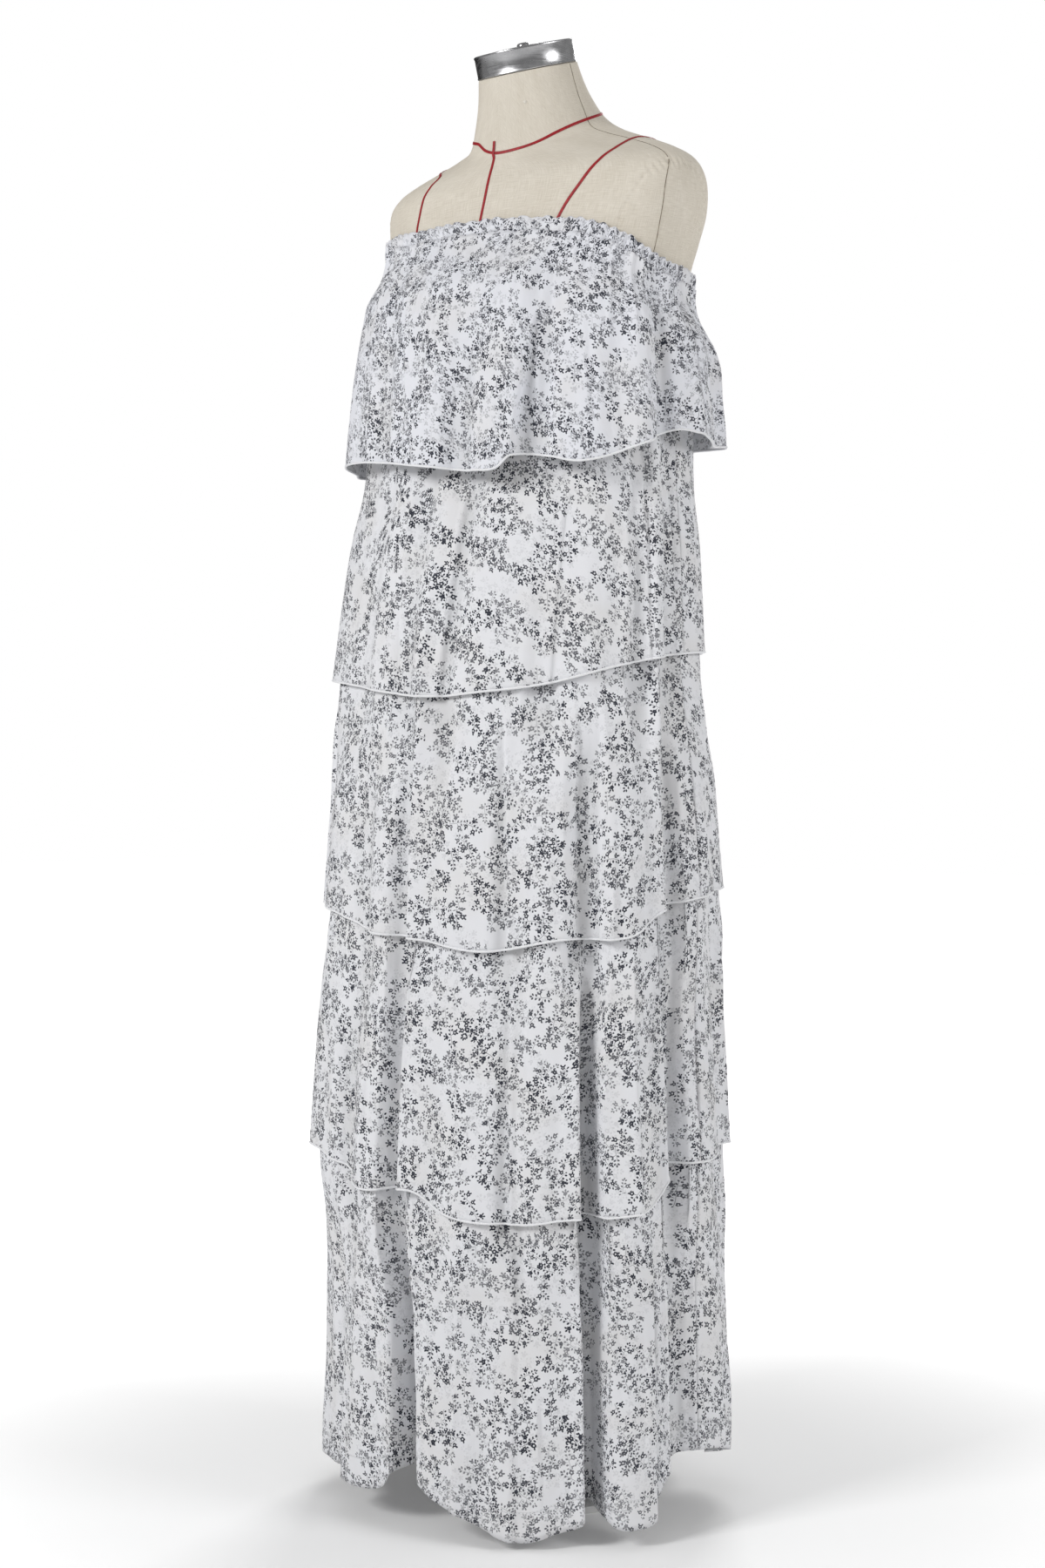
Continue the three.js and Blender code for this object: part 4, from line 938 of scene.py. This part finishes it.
# Dress form
def linenMaterial():
    material, tree, shader = newMaterial("linen")
    flat = flatPlace(tree)
    fine, coarse = formLook["threadScale"]
    upright = noise(tree, stretched(tree, flat, (fine, coarse, 1.0)), 1.0, 2.0)
    level = noise(tree, stretched(tree, flat, (coarse, fine, 1.0)), 1.0, 2.0)
    patch = noise(tree, flat, formLook["patchScale"], 3.0)
    threads = calc(tree, "ADD", upright, level)
    weave = calc(tree, "MULTIPLY_ADD", patch, formLook["patchShare"], threads)
    shade = ramped(tree, weave, *formLook["weaveFrom"], kind="LINEAR")
    colour = mixedColour(tree, shade, formLook["linenDark"], formLook["linenPale"])
    tree.links.new(colour, shader.inputs["Base Color"])
    bumped(tree, shader, threads, formLook["weaveBump"], formLook["weaveDepth"])
    setShader(shader, {"Roughness": 0.92, "Specular IOR Level": 0.2})
    return material


steelLook = dict(
    brushScale=(40.0, 40.0, 900.0), smudgeScale=60.0, wornFrom=(0.6, 1.4), roughRange=(0.6, 1.5),
    darker=0.82, bump=0.08, bumpDepth=0.0002,
)


def steelMaterial(name, tint, rough):
    material, tree, shader = newMaterial(name)
    place = objectPlace(tree)
    lines = noise(tree, stretched(tree, place, steelLook["brushScale"]), 1.0, 2.0)
    smudge = noise(tree, place, steelLook["smudgeScale"], 3.0)
    worn = calc(tree, "ADD", lines, smudge)
    low, high = (rough * share for share in steelLook["roughRange"])
    tree.links.new(ramped(tree, worn, *steelLook["wornFrom"], low, high), shader.inputs["Roughness"])
    dark = tuple(value * steelLook["darker"] for value in tint[:3]) + (1,)
    colour = mixedColour(tree, ramped(tree, smudge, *grainLook["between"]), dark, tint)
    tree.links.new(colour, shader.inputs["Base Color"])
    bumped(tree, shader, lines, steelLook["bump"], steelLook["bumpDepth"])
    setShader(shader, {"Metallic": 1.0})
    return material


paintLook = dict(
    dark=(0.80, 0.80, 0.79, 1), pale=(0.87, 0.87, 0.86, 1), scuffScale=25.0, scuffFrom=(0.35, 0.65),
    peelScale=300.0, bump=0.1,
)


def paintMaterial():
    material, tree, shader = newMaterial("whitePaint")
    place = objectPlace(tree)
    peel = noise(tree, place, paintLook["peelScale"], 2.0)
    scuff = noise(tree, place, paintLook["scuffScale"], 4.0)
    shade = ramped(tree, scuff, *paintLook["scuffFrom"])
    colour = mixedColour(tree, shade, paintLook["dark"], paintLook["pale"])
    tree.links.new(colour, shader.inputs["Base Color"])
    bumped(tree, shader, peel, paintLook["bump"], grainLook["depth"])
    setShader(shader, {"Roughness": 0.45})
    return material


formLook = dict(
    linenDark=(0.66, 0.60, 0.50, 1), linenPale=(0.84, 0.785, 0.69, 1),
    threadScale=(1500.0, 70.0), patchScale=22.0, patchShare=0.5, weaveFrom=(0.9, 1.6),
    weaveBump=0.5, weaveDepth=0.0004, wrapRadius=0.16,
    plainColumn=2.5, fineColumn=0.6, fineFrom=46, fineTo=112, columnEnd=0.1,
    rows=[(0.0, 7.2, 0.4), (7.2, 12.0, 0.05), (12.0, 18.001, 0.08)],  # from step, to step, spacing
    puckerDepth=0.55, puckerPitch=7.5, puckerReach=6.0, puckerSway=1.5, puckerDrift=17,
    grooveDepth=0.6, grooveReach=1.8, shoulderX=110, shoulderZ=1180, armholeCount=220,
    seamRadius=0.00042, seamSides=6,
)
shoulderSeam = [(93, 17.95), (92, 17), (90.5, 16), (89, 15.4), (81, 14), (76.5, 12.65), (74, 10.75)]
armSeam = [(74, 10.6), (71, 9.5), (71.5, 8.6), (73, 7.6), (74, 6.6)]
armholeSeam = [
    (53, 7.6), (53, 8.4), (55, 8.96), (59.5, 9.64), (66.5, 10.16), (75, 10.52), (84.5, 10.5),
    (91, 10.28), (96, 9.9), (101, 9.2), (104, 8.4), (105, 7.4),
]


def surfaceLine(places, hand=1, count=120):
    table = [(i, turn * hand, step) for i, (turn, step) in enumerate(places)]
    at = np.linspace(0, len(places) - 1, count)
    return torsoPoint(along(table, at, 1), along(table, at, 2))


def torsoColumns():
    near, far, end = formLook["fineFrom"], formLook["fineTo"], formLook["columnEnd"]
    front = np.arange(-near, near - end, formLook["plainColumn"])
    side = np.arange(near, far, formLook["fineColumn"])
    back = np.arange(far, 360 - far - end, formLook["plainColumn"])
    other = np.arange(360 - far, 360 - near - end, formLook["fineColumn"])
    return np.concatenate([front, side, back, other])


def makeTorso():
    turns = torsoColumns()
    steps = np.concatenate([np.arange(*row) for row in formLook["rows"]])
    turn, step = np.meshgrid(turns, steps)
    points = torsoPoint(turn, step)
    flat = points.reshape(-1, 3)
    push = np.zeros(len(flat))
    for hand in (1, -1):
        line = surfaceLine(armholeSeam, hand, formLook["armholeCount"])
        outside = flat[:, 0] * hand > formLook["shoulderX"]
        near = np.flatnonzero(outside & (flat[:, 2] > formLook["shoulderZ"]))
        gaps = np.linalg.norm(flat[near, None, :] - line[None], axis=-1)
        place = runLengths(line, 0)[gaps.argmin(1)]
        away = gaps.min(1)
        drift = formLook["puckerSway"] * np.sin(place / formLook["puckerDrift"])
        wave = np.sin(place * 2 * math.pi / formLook["puckerPitch"] + drift)
        push[near] += formLook["puckerDepth"] * wave * np.exp(-(away / formLook["puckerReach"]) ** 2)
        push[near] -= formLook["grooveDepth"] * np.exp(-(away / formLook["grooveReach"]) ** 2)
    flat = flat + outwards(turn.reshape(-1)) * push[:, None]
    rims = [flat[:len(turns)].mean(0), flat[-len(turns):].mean(0)]
    u = np.radians(turn) * formLook["wrapRadius"]
    v = runLengths(points, 0) * mm
    uv = np.concatenate([np.stack([u, v], -1).reshape(-1, 2), np.zeros((2, 2))])
    points = np.concatenate([flat, rims]) * mm
    piece = newPiece("torso_linen", points, ringFaces(*turn.shape), [linen], uv)
    enter(piece, "linen", "torso")


linen = linenMaterial()
seamShadow = grainyMaterial(
    "seamShadow", scale=260.0, detail=2.0, dark=(0.16, 0.13, 0.095, 1), pale=(0.36, 0.31, 0.24, 1),
    rough=0.95)
redTape = grainyMaterial(
    "redTape", scale=700.0, detail=1.0, dark=(0.25, 0.004, 0.010, 1), pale=(0.45, 0.012, 0.020, 1),
    rough=0.55, bump=0.4)
capSteel = steelMaterial("capSteel", (0.56, 0.56, 0.57, 1), 0.26)
poleSteel = steelMaterial("poleSteel", (0.66, 0.66, 0.67, 1), 0.22)
whitePaint = paintMaterial()
pinHead = grainyMaterial(
    "pinHead", scale=800.0, detail=2.0, dark=(0.62, 0.57, 0.48, 1), pale=(0.84, 0.80, 0.72, 1),
    rough=0.4)
makeTorso()
seamValues = {"Radius": formLook["seamRadius"], "Sides": formLook["seamSides"], "Finish": seamShadow}
for hand, side in ((1, "left"), (-1, "right")):
    for name, places in (("shoulder_seam", shoulderSeam), ("arm_seam", armSeam)):
        line = surfaceLine(places, hand) * mm
        grownPiece(f"{name}_{side}", line, False, rolledEdge, seamValues, "linen")
print("dress form covered")

# Red style tapes: places are turn, step and, where a tape lies over another one, its lift in millimetres
tapeLook = dict(
    width=2.7, lift=0.2, over=0.75, thickness=0.5, count=140, nudge=(0.25, 0.02),
    section=[(-1, 0), (-1, 0.7), (-0.8, 1), (0.8, 1), (1, 0.7), (1, 0)],
)
neckTape = [
    (-170, 15.1), (-90, 15.3), (-28, 15.4), (-10, 14.95), (5, 14.5), (20, 14.6), (55, 15.15), (90, 15.3),
]
tapes = {
    "centre_front_tape": [(0, 8.2), (0, 10.5), (-1, 13.2), (-2.5, 14.2, tapeLook["over"]),
                          (-2.5, 15.4, tapeLook["over"])],
    "centre_back_tape": [(180, 6.9), (180, 9), (180, 12), (180, 14.9)],
    "princess_tape_left": [(27.5, 8.0), (31, 9.2), (44, 11.2), (64, 12.5), (90, 13), (122, 12.4), (141, 11),
                           (148, 9.5), (151, 6.9)],
    "princess_tape_right": [(-29.5, 8.3), (-26, 9.8), (-28.5, 11.2), (-37, 12.4), (-60, 13.1), (-90, 13.4),
                            (-125, 12.6), (-141, 11), (-148, 9.5), (-151, 7.1)],
}


def surfaceNormal(turn, step):
    aside, up = tapeLook["nudge"]
    acrossTurn = torsoPoint(turn + aside, step) - torsoPoint(turn - aside, step)
    acrossStep = torsoPoint(turn, step + up) - torsoPoint(turn, step - up)
    normal = np.cross(acrossTurn, acrossStep)
    return normal / np.linalg.norm(normal, axis=-1, keepdims=True)


def makeTape(name, turn, step, lifts, closed):
    line = torsoPoint(turn, step)
    run = np.roll(line, -1, 0) - np.roll(line, 1, 0) if closed else np.gradient(line, axis=0)
    normal = surfaceNormal(turn, step)
    side = np.cross(normal, run)
    side *= tapeLook["width"] / 2 / np.linalg.norm(side, axis=-1, keepdims=True)
    up = tapeLook["thickness"]
    rings = [line + side * way + normal * (lifts + up * high)[:, None] for way, high in tapeLook["section"]]
    points = np.stack(rings, 1)
    count, sides = points.shape[:2]
    faces = []
    for i in range(count if closed else count - 1):
        for j in range(sides):
            k = (j + 1) % sides
            n = (i + 1) % count
            faces.append((i * sides + j, i * sides + k, n * sides + k, n * sides + j))
    if not closed:
        faces.append(tuple(range(sides))[::-1])
        faces.append(tuple((count - 1) * sides + j for j in range(sides)))
    piece = newPiece(name + "_woven", points.reshape(-1, 3) * mm, faces, [redTape])
    enter(piece, "red_tape", name)


for name, places in tapes.items():
    table = [
        (i, turn, step, *(raised or [tapeLook["lift"]])) for i, (turn, step, *raised) in enumerate(places)
    ]
    at = np.linspace(0, len(places) - 1, tapeLook["count"])
    turn, step, lifts = (along(table, at, column) for column in (1, 2, 3))
    makeTape(name, turn, step, lifts, closed=False)
ringTurns = np.linspace(-180, 180, tapeLook["count"], endpoint=False)
ringLifts = np.full(len(ringTurns), tapeLook["lift"])
makeTape("neck_tape", ringTurns, around(neckTape, ringTurns), ringLifts, closed=True)
print("style tapes laid")

# Turned metal and the stand: outlines are radius and height in millimetres
capLook = dict(
    outline=[(0, 0.2), (48.6, 0.2), (49.4, 0.6), (49.7, 1.3), (49.5, 2.0), (49.2, 2.6), (49.2, 19.4),
             (49.6, 20.0), (49.8, 20.9), (49.5, 21.8), (48.6, 22.3), (46.8, 22.2), (45.6, 22.4), (30, 23.4),
             (6.2, 24.1), (6.0, 25.6), (5.2, 26.8), (3.6, 27.4), (0, 27.5)],
    sides=96, base=(0, -22.5, 1387.3), lean=18,
)
poleLook = dict(radius=16, low=7.3, high=673.7, collarRadius=27, collarHeight=26, collarBevel=3, sides=48)
plateLook = dict(radius=105, height=7, bevel=2, round=0.6, slope=0.3, sides=128)
sharpFrom = 38


def makeTurned(name, outline, sides, base, lean, finish, slot, *nodes):
    angles = np.radians(np.arange(sides) * 360 / sides)
    radius = np.array([row[0] for row in outline[1:-1]])[:, None]
    height = np.array([row[1] for row in outline[1:-1]])[:, None]
    rings = np.stack([radius * np.cos(angles), radius * np.sin(angles), height + 0 * angles], -1)
    rings = rings.reshape(-1, 3)
    ends = np.array([(0, 0, outline[0][1]), (0, 0, outline[-1][1])], float)
    points = np.concatenate([rings, ends])
    faces = ringFaces(len(radius), sides)
    tilt = math.radians(lean)
    y = points[:, 1].copy()
    z = points[:, 2].copy()
    points[:, 1] = y * math.cos(tilt) - z * math.sin(tilt)
    points[:, 2] = y * math.sin(tilt) + z * math.cos(tilt)
    piece = newPiece(name, (points + np.array(base)) * mm, faces, [finish])
    piece.data.set_sharp_from_angle(angle=math.radians(sharpFrom))
    enter(piece, slot, *nodes)


makeTurned("neck_cap_metal", capLook["outline"], capLook["sides"], capLook["base"], capLook["lean"],
           capSteel, "steel", "neck_cap")
low, high, wide, bevel = (poleLook[name] for name in ("low", "high", "collarRadius", "collarBevel"))
collar = low + poleLook["collarHeight"]
poleOutline = [
    (0, low), (wide, low), (wide, collar - bevel), (wide - bevel, collar),
    (poleLook["radius"], collar), (poleLook["radius"], high), (0, high),
]
makeTurned("pole_metal", poleOutline, poleLook["sides"], (0, 0, 0), 0, poleSteel, "steel", "pole")
rim, thick, edge, eased = (plateLook[name] for name in ("radius", "height", "bevel", "round"))
plateOutline = [
    (0, 0), (rim - eased, 0), (rim, eased), (rim, thick - edge),
    (rim - eased, thick - edge * plateLook["slope"]), (rim - edge, thick), (0, thick),
]
makeTurned("base_plate_paint", plateOutline, plateLook["sides"], (0, 0, 0), 0,
           whitePaint, "white_paint", "base_plate")
pinLook = dict(radius=2.3, turn=30, step=16.72, sink=1.1, rings=9, sides=24)
pinAngles = np.radians(np.linspace(-90, 90, pinLook["rings"]))
pinOutline = [(pinLook["radius"] * math.cos(a), pinLook["radius"] * math.sin(a)) for a in pinAngles]
pinPlace = torsoPoint(pinLook["turn"], pinLook["step"]) - outwards(pinLook["turn"]) * pinLook["sink"]
makeTurned("neck_pin", pinOutline, pinLook["sides"], pinPlace, 0, pinHead, "linen")
print("cap and stand turned")

# Camera at the photograph's angle
camera = dict(turn=37, away=2.4, height=0.6905, pan=0.451, focal=2796, imageHeight=1800, sensor=24)


def standing(turn, away, height):
    angle = math.radians(turn)
    return away * math.sin(angle), -away * math.cos(angle), height


cam = bpy.data.cameras.new("camera")
cam.sensor_fit = "VERTICAL"
cam.sensor_height = camera["sensor"]
cam.lens = camera["sensor"] * camera["focal"] / camera["imageHeight"]
eye = bpy.data.objects.new("camera", cam)
eye.location = standing(camera["turn"], camera["away"], camera["height"])
eye.rotation_euler = (math.pi / 2, 0, math.radians(camera["turn"] + camera["pan"]))
bpy.context.scene.collection.objects.link(eye)
bpy.context.scene.camera = eye

# Floor and light
studio = dict(
    floorSize=30.0, floorColour=(0.93, 0.93, 0.93, 1), glowNear=0.12, glow=0.75, glowFrom=0.25, glowTo=1.3,
    sky=0.29, backdrop=1.0, lampAim=0.75,
)


def makeFloor():
    half = studio["floorSize"] / 2
    corners = [(-half, -half, 0), (half, -half, 0), (half, half, 0), (-half, half, 0)]
    material, tree, shader = newMaterial("paleFloor")
    setShader(shader, {
        "Base Color": studio["floorColour"], "Roughness": 0.9, "Specular IOR Level": 0.1,
        "Emission Color": (1, 1, 1, 1)})
    away = vectorCalc(tree, "LENGTH", objectPlace(tree))
    glow = ramped(tree, away, studio["glowFrom"], studio["glowTo"], studio["glowNear"], studio["glow"])
    seen = put(tree, "ShaderNodeLightPath").outputs["Is Camera Ray"]
    tree.links.new(calc(tree, "MULTIPLY", glow, seen), shader.inputs["Emission Strength"])
    floor = newPiece("floor", corners, [(0, 1, 2, 3)], [material])


def makeSky():
    world = bpy.data.worlds.new("studio")
    world.use_nodes = True
    tree = world.node_tree
    tree.nodes["Background"].inputs["Color"].default_value = (1, 1, 1, 1)
    seen = put(tree, "ShaderNodeLightPath").outputs["Is Camera Ray"]
    strength = ramped(tree, seen, 0, 1, studio["sky"], studio["backdrop"], kind="LINEAR")
    tree.links.new(strength, tree.nodes["Background"].inputs["Strength"])
    bpy.context.scene.world = world
    bpy.context.scene.view_settings.view_transform = "Standard"


darkCard = dict(turn=-108, away=2.3, height=1.55, width=1.7, tall=1.9)


# A card out of the picture that the metal cap mirrors as a dark end
def makeDarkCard():
    material, tree, shader = newMaterial("darkCard")
    setShader(shader, {"Base Color": (0.03, 0.03, 0.03, 1), "Roughness": 1.0})
    angle = math.radians(darkCard["turn"])
    middle = np.array(standing(darkCard["turn"], darkCard["away"], darkCard["height"]))
    across = np.array([math.cos(angle), math.sin(angle), 0]) * darkCard["width"] / 2
    up = np.array([0, 0, darkCard["tall"] / 2])
    corners = [middle - across - up, middle + across - up, middle + across + up, middle - across + up]
    card = newPiece("dark_card", corners, [(0, 1, 2, 3)], [material])
    card.visible_camera = False
    card.visible_shadow = False


lamps = [  # name, turn, away, height, size, watts
    ("keyLamp", -12, 3.2, 2.3, 1.0, 60),
    ("fillLamp", 96, 3.2, 1.9, 1.2, 34),
    ("backLamp", 205, 3.2, 2.3, 1.4, 56),
]


def makeLamps():
    for name, turn, away, height, size, watts in lamps:
        lamp = bpy.data.lights.new(name, "AREA")
        lamp.size = size
        lamp.energy = watts
        stand = bpy.data.objects.new(name, lamp)
        stand.location = standing(turn, away, height)
        tilt = math.atan2(away, height - studio["lampAim"])
        stand.rotation_euler = (tilt, 0, math.radians(turn))
        bpy.context.scene.collection.objects.link(stand)


makeFloor()
makeSky()
makeDarkCard()
makeLamps()
print("camera, floor and light placed")
bpy.context.view_layer.update()
